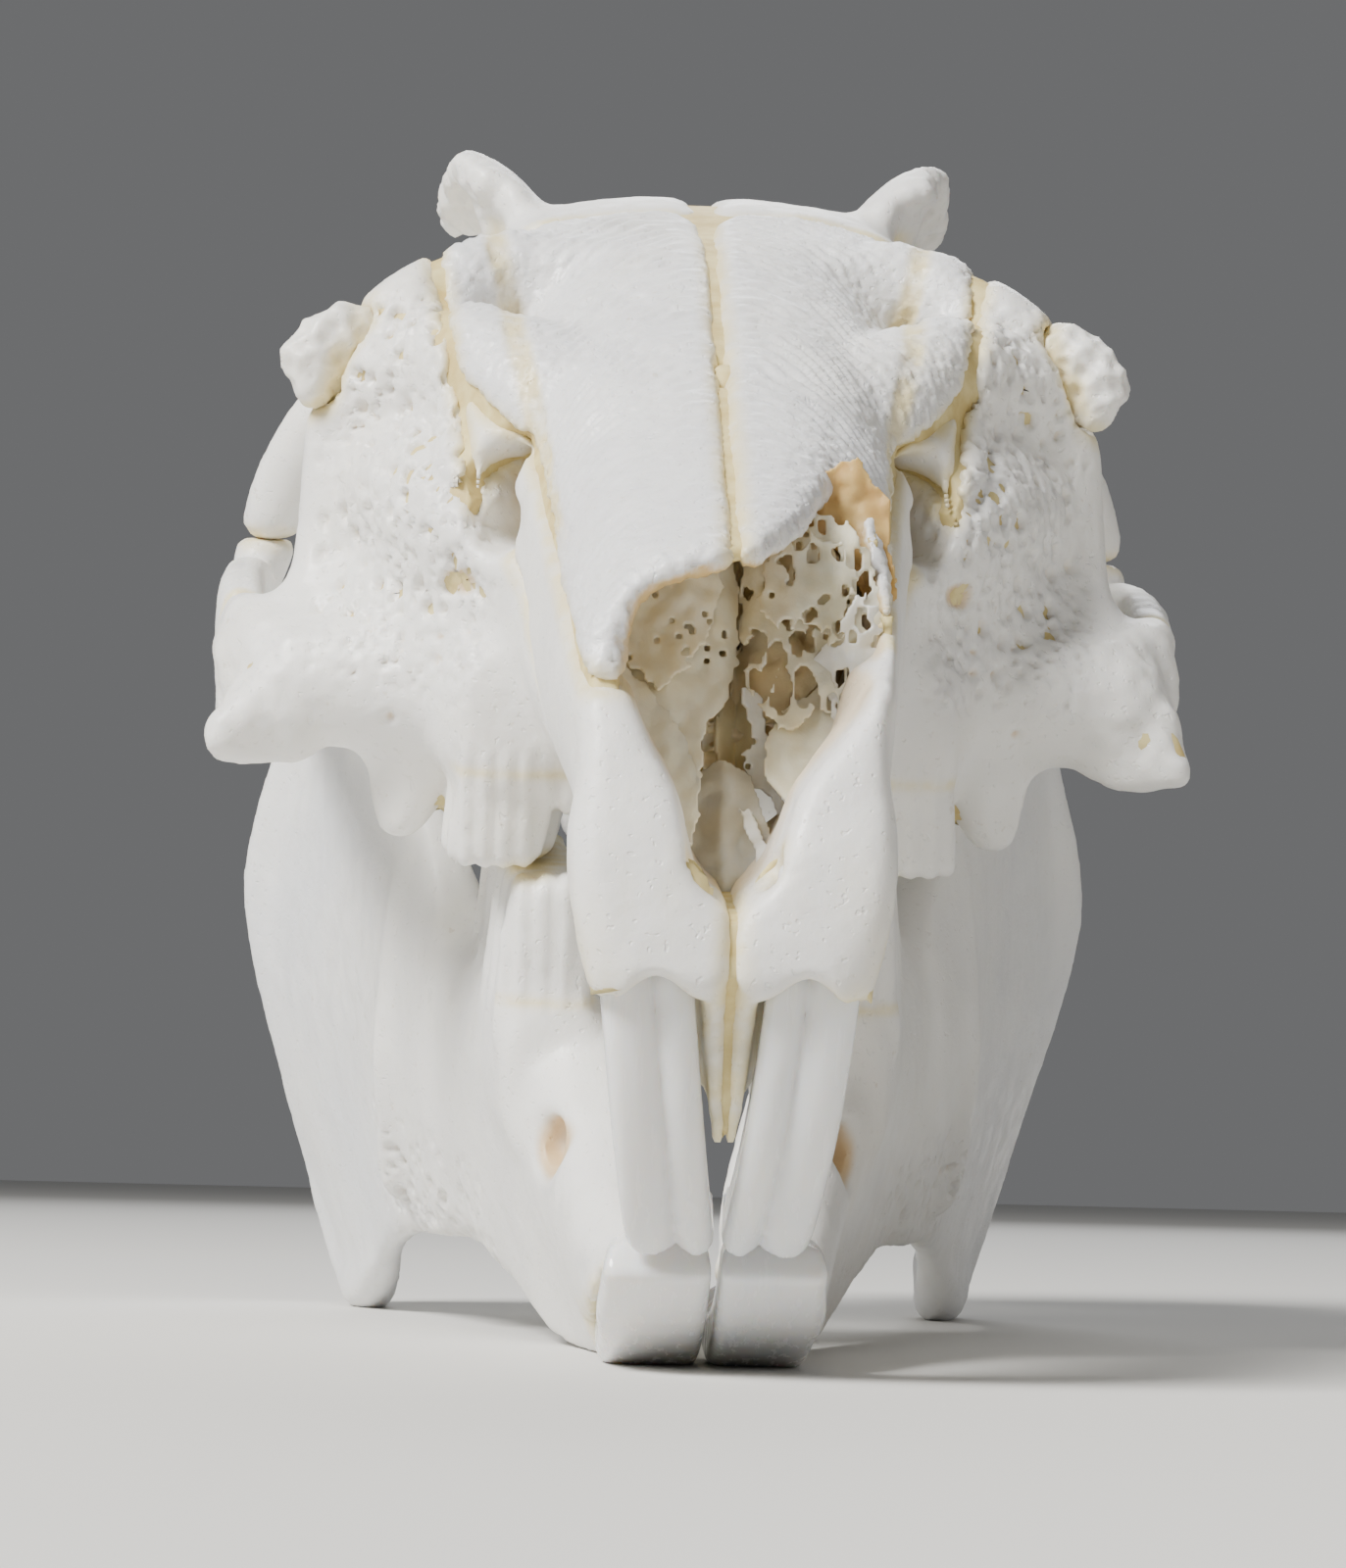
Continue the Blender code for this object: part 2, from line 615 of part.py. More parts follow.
def side_pieces():
    """What stands on the left side of the braincase."""
    return [
        sheet(EYE_WING, 1.2),
        tube([(8.0, 47.0, 33.6), (8.9, 46.6, 35.4)], [1.6, 1.2]),
        tube([(10.0, 50.5, 27.6), (13.8, 51.6, 27.0), (16.6, 52.4, 25.2), (18.8, 53.2, 21.8),
              (19.9, 53.8, 18.0)], [2.6, 2.0, 1.7, 1.5, 1.3]),
        tube([(11.5, 55.0, 24.6), (14.2, 54.6, 25.2), (17.0, 53.8, 23.8)], [2.2, 1.4, 1.0]),
        ball((8.6, 76.0, 17.0), (5.0, 5.0, 7.0)),
        tube([(9.6, 77.6, 12.0), (9.2, 77.8, 6.0), (8.8, 77.4, 1.6)], [1.8, 1.4, 0.9]),
        tube([(3.2, 80.5, 10.4), (4.0, 83.4, 9.8), (4.8, 82.4, 13.4)], [2.2, 2.0, 1.7]),
        sheet([[(3.6, 42.0, 15.0), (4.2, 42.0, 10.0), (4.6, 42.4, 7.4)],
               [(3.4, 47.0, 14.6), (4.2, 47.4, 9.0), (4.8, 48.4, 5.4)],
               [(3.6, 52.0, 14.0), (4.6, 52.2, 9.6), (5.2, 52.8, 6.8)]], 1.0),
        tube([(7.0, 37.5, 15.4), (5.6, 42.0, 14.6), (5.0, 47.0, 14.0)], [2.2, 1.8, 1.8]),
        ball((10.6, 65.0, 19.0), (3.4, 9.0, 8.0)),
    ]


def incisor_wedge():
    """The bone between the two upper front teeth, which their sockets cut to its shape."""
    levels = [(9.5, 1.4, -2.2, 1.5), (6.5, 1.3, -2.7, 0.8), (4.2, 1.15, -2.8, -0.2),
              (2.4, 0.9, -2.6, -1.0)]
    return skin([[(-w, front, z), (w, front, z), (w, back, z), (-w, back, z)]
                 for z, w, front, back in levels])


def cranium():
    """Everything but the jaw, the teeth and the bones that are set in, as one solid."""
    pieces = [loft(SNOUT), loft(FOREHEAD), loft(EYE_WALL), loft(BRAINCASE, squareness=2.1)]
    pieces += both(face_pieces() + [arch_piece(), incisor_sheath()] + side_pieces())
    pieces += [
        tube([(0, 56.0, 33.6), (0, 72.0, 28.6), (0, 79.6, 24.6)], [1.0, 1.6, 1.8]),
        tube([(-8.6, 79.0, 20.0), (-4.6, 80.2, 23.4), (0, 80.6, 24.4), (4.6, 80.2, 23.4), (8.6, 79.0, 20.0)],
             [1.2, 1.4, 1.8, 1.4, 1.2]),
        loft([(20.5, 9.8, 12.4, 6.0, 0.0), (30.5, 10.0, 12.6, 6.0, 0.0)]),
        incisor_wedge(),
        loft([(40.0, 14.0, 17.0, 3.6, 0.0), (70.0, 9.6, 14.0, 4.6, 0.0), (82.0, 8.4, 12.0, 3.8, 0.0)]),
    ]
    return fuse(pieces, smooth=6)


def hollows():
    """The openings of the skull: nose, foramina, the gap over the palate and the brain's door."""
    slope = prism([(-12, 6), (-4.4, 8.2), (-3.9, 9.6), (-3.3, 11.5), (-2.3, 13.6), (-1.1, 15.8), (0.3, 18.0),
                   (1.1, 19.4), (-12, 19.4)], -12, 12)
    broken = prism(BROKEN_EDGE + [(9, -14), (-9, -14)], 17.6, 40, "Z")
    windows = [
        tube([(9.5, 18.0, 24.2), (8.5, 21.5, 23.8), (6.6, 24.2, 23.2)], [1.3, 1.3, 1.1]),
        tube([(9.0, 18.0, 21.5), (7.9, 21.5, 21.5), (6.2, 24.2, 21.5)], [1.3, 1.3, 1.1]),
        tube([(13.4, 21.4, 14.6), (12.8, 23.2, 12.6), (13.2, 25.0, 10.2)], [0.7, 1.5, 1.9]),
        loft([(7.0, 6.0, 13.4, 0.7, 0.0, 1.5), (12.0, 6.0, 13.8, 1.3, 0.0, 2.1),
              (20.5, 6.0, 14.2, 1.5, 0.0, 2.3), (22.5, 6.0, 14.2, 0.8, 0.0, 1.8)]),
        tube([(14.0, 40.0, 34.6), (10.2, 42.6, 34.4), (8.8, 44.6, 35.6)], [1.5, 0.9, 0.5]),
    ]
    return [
        prism(NOSE_OPENING, -9, 4.4, "Y"),
        loft(NASAL_CAVITY),
        slope,
        broken,
        loft([(31.4, 9.0, 14.6, 2.2, 0.2), (46.0, 4.0, 12.6, 3.2, 0.1), (54.0, 4.0, 11.2, 3.2, 0.1)]),
        loft([(74.0, 13.0, 17.0, 2.6, 0.0), (79.0, 11.6, 18.6, 3.8, 0.0), (90.0, 11.2, 19.2, 4.0, 0.0)]),
        *both(windows),
    ]


def sutures():
    """The thin walls that part the bones of the skull."""
    def flat(line):
        return [tuple(point) for point in smooth_line(line)]

    def across(line, half_width):
        return ribbon([(-half_width, *p) for p in line], [(half_width, *p) for p in line])

    behind_face = [(39.4, 42), (38.8, 33), (37.4, 27), (38.6, 21.2), (40.4, 14), (40.6, 2)]
    behind_frontals = [(57.6, 42), (57.0, 33), (54.5, 30.4), (48.0, 28.8), (36.9, 26.6)]
    behind_braincase = [(78.4, 32), (77.2, 25), (74.6, 18), (73.8, 12), (72.6, 2)]
    along_snout = [(12, 10.5, 2), (12, 12.4, 9.8), (12, 15.5, 15.5), (12.4, 20.5, 21.2), (11.0, 28.0, 25.9),
                   (10.4, 34.0, 28.6), (10.6, 39.2, 30.6)]
    walls = [across(behind_face, 16.4), across(behind_frontals, 15), across(behind_braincase, 20),
             ribbon([(-x, y, z) for x, y, z in along_snout], along_snout)]
    middle = [(-14, 2), (-14, 42), *flat(behind_frontals), *(p for p in flat(behind_face) if p[1] < 26.4)]
    walls.append(prism(middle, -SUTURE / 2, SUTURE / 2))
    inner = [(2.6, -9, 16.4), (2.6, 0, 16.8), (2.8, 8, 18.8), (3.4, 20, 22.9), (4.2, 32, 27.4),
             (4.4, 41, 30.2)]
    outer = [(8.0, -9, 17.2), (8.0, 0, 17.6), (8.4, 8, 20.0), (9.6, 20, 24.6), (11.0, 32, 29.4),
             (11.4, 41, 32.2)]
    walls += both([ribbon(inner, outer)])
    beside_snout = [(8.0, 14.6, 12.4), (8.6, 18.6, 18.4), (9.3, 26, 24.2), (9.9, 32, 27.4), (10.3, 41, 31.2)]
    walls += both([ribbon(beside_snout, [(x + 4, y, 40) for x, y, z in beside_snout])])
    cheek = [(30.6, 6), (31.2, 15), (33.0, 24)]
    walls += both([ribbon([(16.4, *p) for p in cheek], [(26, *p) for p in cheek])])
    step = [(48.6, 19.6), (52.0, 19.4), (60.0, 19.4)]
    walls += both([ribbon([(17.4, *p) for p in step], [(26, *p) for p in step])])
    return walls


def lacrimal():
    """The left lacrimal bone, a knob on the front rim of the eye socket."""
    return fuse([
        tube([(14.4, 31.8, 28.9), (15.7, 31.3, 28.3), (16.5, 30.9, 27.5)], [1.15, 1.1, 0.9]),
        ball((15.0, 32.2, 27.6), (1.1, 1.5, 1.9)),
        ball((16.0, 31.0, 26.8), (0.9, 1.1, 1.2)),
    ], voxel=0.3, smooth=2)


def bulla():
    """The left ear capsule with its tube, on the underside of the braincase."""
    return fuse([
        ball((9.0, 70.6, 10.4), (4.3, 6.2, 5.2), (0, -14, -12)),
        tube([(11.6, 71.4, 12.4), (13.0, 72.0, 16.4), (13.4, 72.8, 19.4)], [2.6, 2.1, 2.0]),
    ], smooth=2)


def turbinals():
    """The scrolls of thin bone that fill the nose, as one body with combs and pits in front."""
    body = loft([
        (5.4, 15.6, 20.2, 3.6, 0.3), (8.0, 14.2, 22.0, 4.7, 0.3), (14.0, 13.6, 24.4, 5.4, 0.3),
        (20.0, 13.6, 26.8, 6.1, 0.3), (27.0, 14.6, 29.2, 6.6, 0.3), (30.0, 16.0, 30.2, 6.6, 0.3)])
    cutters = [box((-0.22, 0, 10), (0.22, 15, 19.5))]
    for row in range(5):
        for column in range(-5, 6):
            if not column:
                continue
            x, z = column * 0.82 + 0.3 * (row % 2), 15.2 + row * 1.35 + 0.3 * math.sin(column * 2.1)
            reach = 9.0 + 2.2 * math.sin(3.1 * row + 1.7 * column)
            lean = 0.12 * math.sin(row + column * 1.3)
            ends = [(x, 2.0, z), (x * (1 + lean), reach, z + 1.2)]
            cutters.append(tube(ends, [0.36, 0.22], steps=2, sides=6))
    return cut(body, cutters)


def vomer():
    """The thin plate that stands on the floor of the nose between the two passages."""
    return sheet([
        [(0.25, 1.6, 11.4), (0.0, 8.0, 12.2), (0.0, 16.0, 12.9), (0.0, 26.0, 13.9)],
        [(0.1, 2.6, 12.6), (-0.1, 8.0, 13.0), (0.0, 16.0, 13.2), (0.0, 26.0, 14.2)],
    ], 0.7, levels=1)


# The jaw

def jaw_half():
    """The left half of the jaw with its cheek teeth."""
    pieces = [
        loft(JAW_BODY),
        sheet(JAW_RAMUS, 1.3),
        tube([(13.6, 50.6, 19.6), (14.4, 53.0, 22.0), (15.4, 57.0, 21.6)], [1.5, 1.7, 1.5]),
        tube([(17.2, 61.0, 13.6), (19.8, 63.2, 4.0), (19.8, 63.8, -1.0), (17.2, 64.6, -11.0),
              (14.9, 64.0, -17.2)], [0.9, 1.1, 1.2, 1.2, 1.7]),
        tube([(14.9, 64.0, -17.2), (14.2, 59.0, -17.8), (13.2, 53.0, -14.8)], [1.6, 1.3, 0.9]),
        tube([(9.6, 37.0, 4.0), (11.6, 41.4, 9.0), (12.8, 46.0, 16.4), (13.8, 50.0, 19.6)],
             [1.2, 1.1, 1.0, 1.2]),
        tube([(12.2, 42.0, -9.0), (12.6, 40.0, -2.0), (12.0, 40.2, 6.0)], [0.8, 0.9, 0.7]),
        loft([(3.2, -6.0, -2.6, 1.75, 0.1, 2.1), (8.0, -7.2, -2.2, 2.0, 0.1, 2.2)]),
        loft([(20.0, -3.0, 3.4, 1.9, 0.0, 5.5), (24.0, -3.0, 4.2, 2.3, 0.0, 5.9),
              (37.0, -3.0, 4.4, 2.2, 0.0, 7.2)], squareness=3.0),
    ]
    bone = fuse(pieces, smooth=4)
    teeth = fuse(cheek_teeth(False), voxel=0.3, smooth=1)
    combine(bone, teeth, "UNION")
    return cut(bone, [
        box((-9, -9, -30), (SUTURE / 2, 60, 30)),
        tube([(8.0, 16.0, -1.8), (5.2, 17.6, -1.6), (3.6, 19.0, -1.8)], [0.9, 0.7, 0.5]),
    ])


# The whole skull

def resting_frame(jaws):
    """The turn that sets the front and the rear feet of the jaw level, and the drop to the floor."""
    points = [vertex.co / MM for jaw in jaws for vertex in jaw.data.vertices]
    front = [point for point in points if point.y < 40]
    rear = [point for point in points if point.y >= 40]

    def lowest(group, turn):
        return min((turn @ point).z for point in group)

    low, high = 0.0, 25.0
    for _ in range(30):
        middle = (low + high) / 2
        turn = Matrix.Rotation(math.radians(middle), 4, "X")
        if lowest(rear, turn) > lowest(front, turn):
            high = middle
        else:
            low = middle
    floor = lowest(front, turn) + FLAT_DEPTH
    return Matrix.Translation((0, 0, -floor * MM)) @ turn


def main():
    skull = fuse([cut(cranium(), hollows())], smooth=3)
    lacrimals, bullae = both([lacrimal()]), both([bulla()])
    incisors, lower_incisors = both([upper_incisor()]), both([lower_incisor()])
    cut(skull, [grown(item) for item in lacrimals + bullae] + both([upper_incisor(SOCKET_GAP)]))
    cut(skull, sutures())

    bodies = bodies_of(skull)
    pairs = {}
    for name, test in (
        ("zygomatic", lambda x, y, z: x > 17 and y > 34),
        ("nasal", lambda x, y, z: y < 39 and z > 22),
        ("frontal", lambda x, y, z: 39 < y < 57 and z > 24),
        ("premaxilla", lambda x, y, z: y < 18 and z < 22),
        ("maxilla", lambda x, y, z: 11 < y < 40),
    ):
        pairs[name] = [
            take_body(bodies, lambda x, y, z: side * x > 0.5 and test(side * x, y, z))
            for side in (1, -1)
        ]
    braincase = take_body(bodies, lambda x, y, z: y < 75)
    occipital = take_body(bodies, lambda x, y, z: y > 72)
    for body in bodies:
        bpy.data.objects.remove(body)

    teeth = both([fuse(cheek_teeth(True), voxel=0.3, smooth=1)])
    pegs = both([tube([(1.5, 0.6, 10.0), (1.5, 1.4, 6.0), (1.5, 0.9, 3.2)], [0.75, 0.75, 0.6])])
    pairs["maxilla"] = [combine(bone, row, "UNION") for bone, row in zip(pairs["maxilla"], teeth)]
    pairs["premaxilla"] = [combine(bone, peg, "UNION") for bone, peg in zip(pairs["premaxilla"], pegs)]

    jaws = both([combine(jaw_half(), lower_incisor(SUTURE))])
    bone, enamel = make_material("bone", BONE, 0.55), make_material("enamel", ENAMEL, 0.3)
    spongy = make_material("spongy_bone", SPONGY_BONE, 0.65)
    for name, pair in pairs.items():
        finish_pair(pair, name, bone, name)
    finish(braincase, "braincase", bone, "braincase")
    finish(occipital, "occipital", bone, "occipital")
    finish_pair(lacrimals, "lacrimal", bone, "lacrimal")
    finish_pair(bullae, "tympanic_bulla", bone, "bulla")
    finish_pair(jaws, "mandible", bone, "mandible")
    finish_pair(incisors, "upper_incisor", enamel, "upper_incisor")
    finish_pair(lower_incisors, "lower_incisor", enamel, "lower_incisor")
    finish(turbinals(), "turbinals", spongy, "turbinals")
    finish(vomer(), "vomer", bone, "vomer")

    resting = resting_frame([obj for obj in PARTS.objects if obj.name.startswith("mandible")])
    for obj in PARTS.objects:
        obj.data.transform(resting)
    corners = [vertex.co for obj in PARTS.objects for vertex in obj.data.vertices]
    middle_x, middle_y = ((max(c[i] for c in corners) + min(c[i] for c in corners)) / 2 for i in (0, 1))
    floor = box((-60, -60, -20), (60, 120, 0))
    for obj in PARTS.objects:
        if obj.name.startswith(("mandible", "lower_incisor")):
            combine(obj, floor, keep_other=True)
        obj.data.transform(Matrix.Translation((-middle_x, -middle_y, 0)))
        lowest = min(vertex.co.z for vertex in obj.data.vertices) / MM
        print(f"{obj.name}: {len(obj.data.polygons)} triangles, lowest point {lowest:.2f} mm")
    bpy.data.objects.remove(floor)


for item in list(bpy.data.objects):
    bpy.data.objects.remove(item)
PARTS = make_collection("parts", hidden=False)
TOOLS = make_collection("tools", hidden=True)
main()
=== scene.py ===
# %% [markdown]
# # A rabbit skull on a pale table
#
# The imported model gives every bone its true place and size. This lesson dresses it: each bone
# is copied, made fine enough to carry pores, pits and worn edges, and gets a bone material.
# The lacy scrolls inside the nose, the front teeth and the dried skin in the seams between
# the bones are modelled here as pieces of their own.

# %% Load the frame
import json
import math
import time

import bpy
import numpy as np
from mathutils import Matrix, Vector, noise
from mathutils.bvhtree import BVHTree

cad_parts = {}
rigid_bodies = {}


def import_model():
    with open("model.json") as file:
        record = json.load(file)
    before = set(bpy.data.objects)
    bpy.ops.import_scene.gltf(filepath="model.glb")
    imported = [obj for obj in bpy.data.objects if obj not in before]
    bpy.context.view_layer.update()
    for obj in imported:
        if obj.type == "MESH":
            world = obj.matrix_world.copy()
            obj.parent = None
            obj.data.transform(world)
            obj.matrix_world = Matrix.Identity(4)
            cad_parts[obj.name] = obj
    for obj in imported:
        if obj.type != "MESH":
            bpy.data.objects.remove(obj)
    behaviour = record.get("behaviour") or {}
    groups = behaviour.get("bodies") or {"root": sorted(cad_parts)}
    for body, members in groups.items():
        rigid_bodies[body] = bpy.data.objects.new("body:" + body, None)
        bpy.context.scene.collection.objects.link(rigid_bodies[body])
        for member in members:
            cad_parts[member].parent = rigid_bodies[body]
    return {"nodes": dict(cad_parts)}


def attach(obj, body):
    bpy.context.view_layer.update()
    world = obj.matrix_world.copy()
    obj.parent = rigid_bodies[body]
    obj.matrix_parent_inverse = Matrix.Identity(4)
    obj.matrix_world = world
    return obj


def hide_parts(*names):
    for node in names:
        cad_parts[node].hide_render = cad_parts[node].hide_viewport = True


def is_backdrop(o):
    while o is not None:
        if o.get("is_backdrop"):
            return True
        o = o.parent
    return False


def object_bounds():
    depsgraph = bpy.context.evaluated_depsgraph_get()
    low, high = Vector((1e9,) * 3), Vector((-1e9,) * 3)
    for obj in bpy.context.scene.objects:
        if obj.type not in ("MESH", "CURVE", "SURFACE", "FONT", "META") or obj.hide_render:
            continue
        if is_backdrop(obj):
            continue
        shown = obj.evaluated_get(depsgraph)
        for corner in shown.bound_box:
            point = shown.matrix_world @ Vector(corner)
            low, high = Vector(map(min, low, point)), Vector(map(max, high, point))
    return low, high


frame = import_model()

started = time.time()
cad_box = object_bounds()
print("the CAD model's box:", cad_box)

# %% [markdown]
# ## The skull's own frame
#
# The skull rests nose down on its jaw. It is easier to say where a pore or a tooth is in the
# skull's own frame: x across with the animal's left positive, y back from the tips of the
# front teeth, z up from the chewing level, in millimetres. One matrix turns such a place into
# the room, and the camera is placed with it as well. Its three axes, as directions in the
# room, serve the steps that push a surface sideways, back or up.

# %% The skull's frame
MM = 0.001
NOSE_DOWN = math.radians(12.434)
SKULL_ORIGIN = Vector((0.0, -37.48, 5.66)) * MM
SKULL_TO_ROOM = Matrix.Translation(SKULL_ORIGIN) @ Matrix.Rotation(NOSE_DOWN, 4, "X")
SKULL_AXES = np.array(SKULL_TO_ROOM.to_3x3())
ACROSS, BACK, UP = SKULL_AXES.T


def room(x, y, z):
    """The place in the room of a point given in the skull's frame, in millimetres."""
    return SKULL_TO_ROOM @ (Vector((x, y, z)) * MM)


print("tips of the front teeth in the room, mm:", [round(c / MM, 1) for c in room(0, 0, -1.8)])

# %% [markdown]
# ## Small tools
#
# Operators act on whatever is selected, so one helper selects exactly one object. A modifier
# is added and applied at once, so the finished piece is a plain mesh. Vertex places are read
# and written as arrays, because a fine bone has a hundred thousand vertices.

# %% Helpers for objects and modifiers
MERGE_WITHIN = 0.002


def select_only(obj):
    """Select one object and make it active."""
    bpy.ops.object.select_all(action="DESELECT")
    obj.select_set(True)
    bpy.context.view_layer.objects.active = obj


def shape(obj, kind, **settings):
    """Add one modifier with these settings and apply it."""
    select_only(obj)
    modifier = obj.modifiers.new(kind.lower(), kind)
    for key, value in settings.items():
        setattr(modifier, key, value)
    bpy.ops.object.modifier_apply(modifier=modifier.name)


def copy_of(node, name):
    """A copy of a CAD node with its doubled vertices merged."""
    obj = bpy.data.objects.new(name, frame["nodes"][node].data.copy())
    bpy.context.scene.collection.objects.link(obj)
    obj.data.materials.clear()
    select_only(obj)
    bpy.ops.object.mode_set(mode="EDIT")
    bpy.ops.mesh.select_all(action="SELECT")
    bpy.ops.mesh.remove_doubles(threshold=MERGE_WITHIN * MM)
    bpy.ops.object.mode_set(mode="OBJECT")
    return obj


def points_of(obj):
    """The vertices as an array, in metres."""
    places = np.empty(len(obj.data.vertices) * 3)
    obj.data.vertices.foreach_get("co", places)
    return places.reshape(-1, 3)


def set_points(obj, places):
    """Move the vertices to these places."""
    obj.data.vertices.foreach_set("co", np.ascontiguousarray(places).ravel())
    obj.data.update()


def normals_of(obj):
    """The vertex normals as an array."""
    normals = np.empty(len(obj.data.vertices) * 3)
    obj.data.vertex_normals.foreach_get("vector", normals)
    return normals.reshape(-1, 3)


def push_out(obj, metres):
    """Move each vertex along its normal by its own distance."""
    set_points(obj, points_of(obj) + normals_of(obj) * metres[:, None])


def push_along(obj, axis, metres):
    """Move each vertex along one axis by its own distance."""
    set_points(obj, points_of(obj) + metres[:, None] * axis)


def in_skull(places):
    """Places in metres in the room as millimetres in the skull's frame."""
    return (places - np.array(SKULL_ORIGIN)) @ SKULL_AXES / MM


def ramp(value, start, end):
    """0 before start and 1 after end, with a smooth rise between them."""
    t = np.clip((value - start) / (end - start), 0, 1)
    return t * t * (3 - 2 * t)


def near(places, centre, reach):
    """1 at a place and falling smoothly to 0 at a distance given along each axis."""
    away = np.linalg.norm((places - np.array(centre)) / np.array(reach), axis=1)
    return 1 - ramp(away, 0.4, 1.0)


def uneven(places, size, seed=0.0):
    """Smooth noise from -1 to 1 at places in millimetres, with features of about size."""
    return np.array([noise.noise(Vector(place) / size + Vector((seed, seed, seed))) for place in places])


def keep_as(obj, name, values):
    """Store one number for each vertex, for a material to read."""
    layer = obj.data.attributes.get(name) or obj.data.attributes.new(name, "FLOAT", "POINT")
    layer.data.foreach_set("value", np.ascontiguousarray(values, dtype=np.float32))


def kept_as(obj, name):
    """The numbers that keep_as stored under this name."""
    values = np.empty(len(obj.data.vertices), dtype=np.float32)
    obj.data.attributes[name].data.foreach_get("value", values)
    return values


print("tips of the front teeth, there and back, mm:", in_skull(np.array([room(0, 0, -1.8)])).round(2))


# %% [markdown]
# ## Roughening a surface
#
# Blender's Displace modifier pushes vertices along their normals by a texture. An empty that
# is scaled to a millimetre carries the texture, so that sizes are given in millimetres and can
# be stretched along the bone's fibres. Only a part of a bone is rough, so the helper mixes
# the displaced places with the old ones by a weight.

# %% Textures and displacement


def texture(kind, size, **settings):
    """A texture whose features are about size millimetres apart."""
    made = bpy.data.textures.new(kind.lower(), kind)
    made.noise_scale = size
    for key, value in settings.items():
        setattr(made, key, value)
    return made


def pit_texture(size, edge):
    """Round pits: dark near the middle of each Voronoi cell and white outside of it."""
    made = texture("VORONOI", size, distance_metric="DISTANCE")
    made.use_color_ramp = True
    stops = made.color_ramp.elements
    stops[0].position, stops[0].color = edge * 0.45, (0, 0, 0, 1)
    stops[1].position, stops[1].color = edge, (1, 1, 1, 1)
    return made


def roughen(obj, pattern, height, where=None, middle=0.5, stretch=(1, 1, 1)):
    """Displace the surface by a texture, height millimetres from black to white."""
    ruler = bpy.data.objects.new("ruler", None)
    bpy.context.scene.collection.objects.link(ruler)
    ruler.matrix_world = SKULL_TO_ROOM @ Matrix.Diagonal((*[s * MM for s in stretch], 1))
    bpy.context.view_layer.update()
    before = points_of(obj)
    shape(obj, "DISPLACE", texture=pattern, texture_coords="OBJECT", texture_coords_object=ruler,
          strength=height * MM, mid_level=middle)
    if where is not None:
        set_points(obj, before + where[:, None] * (points_of(obj) - before))
    bpy.data.objects.remove(ruler)


# %% [markdown]
# ## Floor
#
# The skull stands on a plain pale floor. One flat disc of a single face is enough, so wide
# that its edge is far away in every view.

# %% Floor
FLOOR_RADIUS = 3.0
bpy.ops.mesh.primitive_circle_add(vertices=96, radius=FLOOR_RADIUS, fill_type="NGON", location=(0, 0, 0))
floor = bpy.context.object
floor.name = "floor"
floor_paint = bpy.data.materials.new("pale_floor")
floor_paint.use_nodes = True
floor_shader = floor_paint.node_tree.nodes["Principled BSDF"]
floor_shader.inputs["Base Color"].default_value = (0.68, 0.67, 0.64, 1)
floor_shader.inputs["Roughness"].default_value = 0.9
floor.data.materials.append(floor_paint)
floor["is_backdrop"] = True
print("floor radius, m:", FLOOR_RADIUS)

# %% [markdown]
# ## Light
#
# Bone is nearly white, so its form is read from soft shadows alone. A large lamp above and to
# the left gives them, a weaker one on the right keeps them open, and one behind lifts the
# outline off the floor. A sun lamp would be simpler, but its hard shadows would hide the pits.

# %% Lights


def soft_light(name, place, aim, size, power, colour):
    """A square area lamp that looks at a point."""
    lamp = bpy.data.lights.new(name, "AREA")
    lamp.size, lamp.energy, lamp.color = size, power, colour
    obj = bpy.data.objects.new(name, lamp)
    obj.location = place
    obj.rotation_euler = (Vector(aim) - Vector(place)).to_track_quat("-Z", "Y").to_euler()
    bpy.context.scene.collection.objects.link(obj)


soft_light("key_light", (-0.33, -0.27, 0.42), (0, -0.01, 0.03), 0.22, 7.8, (1.0, 0.985, 0.96))
soft_light("fill_light", (0.50, -0.30, 0.20), (0, 0, 0.03), 0.40, 0.35, (1.0, 0.93, 0.85))
soft_light("rim_light", (0.10, 0.50, 0.42), (0, 0, 0.03), 0.30, 1.4, (0.95, 0.97, 1.0))
world = bpy.data.worlds.new("studio")
world.use_nodes = True
world.node_tree.nodes["Background"].inputs["Color"].default_value = (0.80, 0.81, 0.83, 1)
world.node_tree.nodes["Background"].inputs["Strength"].default_value = 0.19
bpy.context.scene.world = world

# %% [markdown]
# ## Camera
#
# The camera is low and about 115 mm in front of the teeth, so the snout is large and the
# cheeks fall away. Its place and its three angles are in the skull's frame, and its lens
# follows from a focal length in pixels, as a fit of a camera to known points gives it.

# %% Camera
CAMERA_PLACE = (-5.93, -115.23, 25.92)
CAMERA_YAW, CAMERA_PITCH, CAMERA_ROLL = (math.radians(a) for a in (-1.98, -5.95, -1.82))
FOCAL_PIXELS = 3641
PHOTO_HEIGHT = 1600
SENSOR_HEIGHT = 24.0

lens = bpy.data.cameras.new("camera")
lens.sensor_fit = "VERTICAL"
lens.sensor_height = SENSOR_HEIGHT
lens.lens = SENSOR_HEIGHT * FOCAL_PIXELS / PHOTO_HEIGHT
lens.clip_start, lens.clip_end = 0.01, 20
camera = bpy.data.objects.new("camera", lens)
bpy.context.scene.collection.objects.link(camera)
look = (Matrix.Rotation(CAMERA_YAW, 4, "Z") @ Matrix.Rotation(CAMERA_PITCH, 4, "X")
        @ Matrix.Rotation(CAMERA_ROLL, 4, "Y") @ Matrix.Rotation(math.radians(90), 4, "X"))
camera.matrix_world = SKULL_TO_ROOM @ Matrix.Translation(Vector(CAMERA_PLACE) * MM) @ look
bpy.context.scene.camera = camera
print("camera height over the floor, mm:", round(camera.location.z / MM, 1))

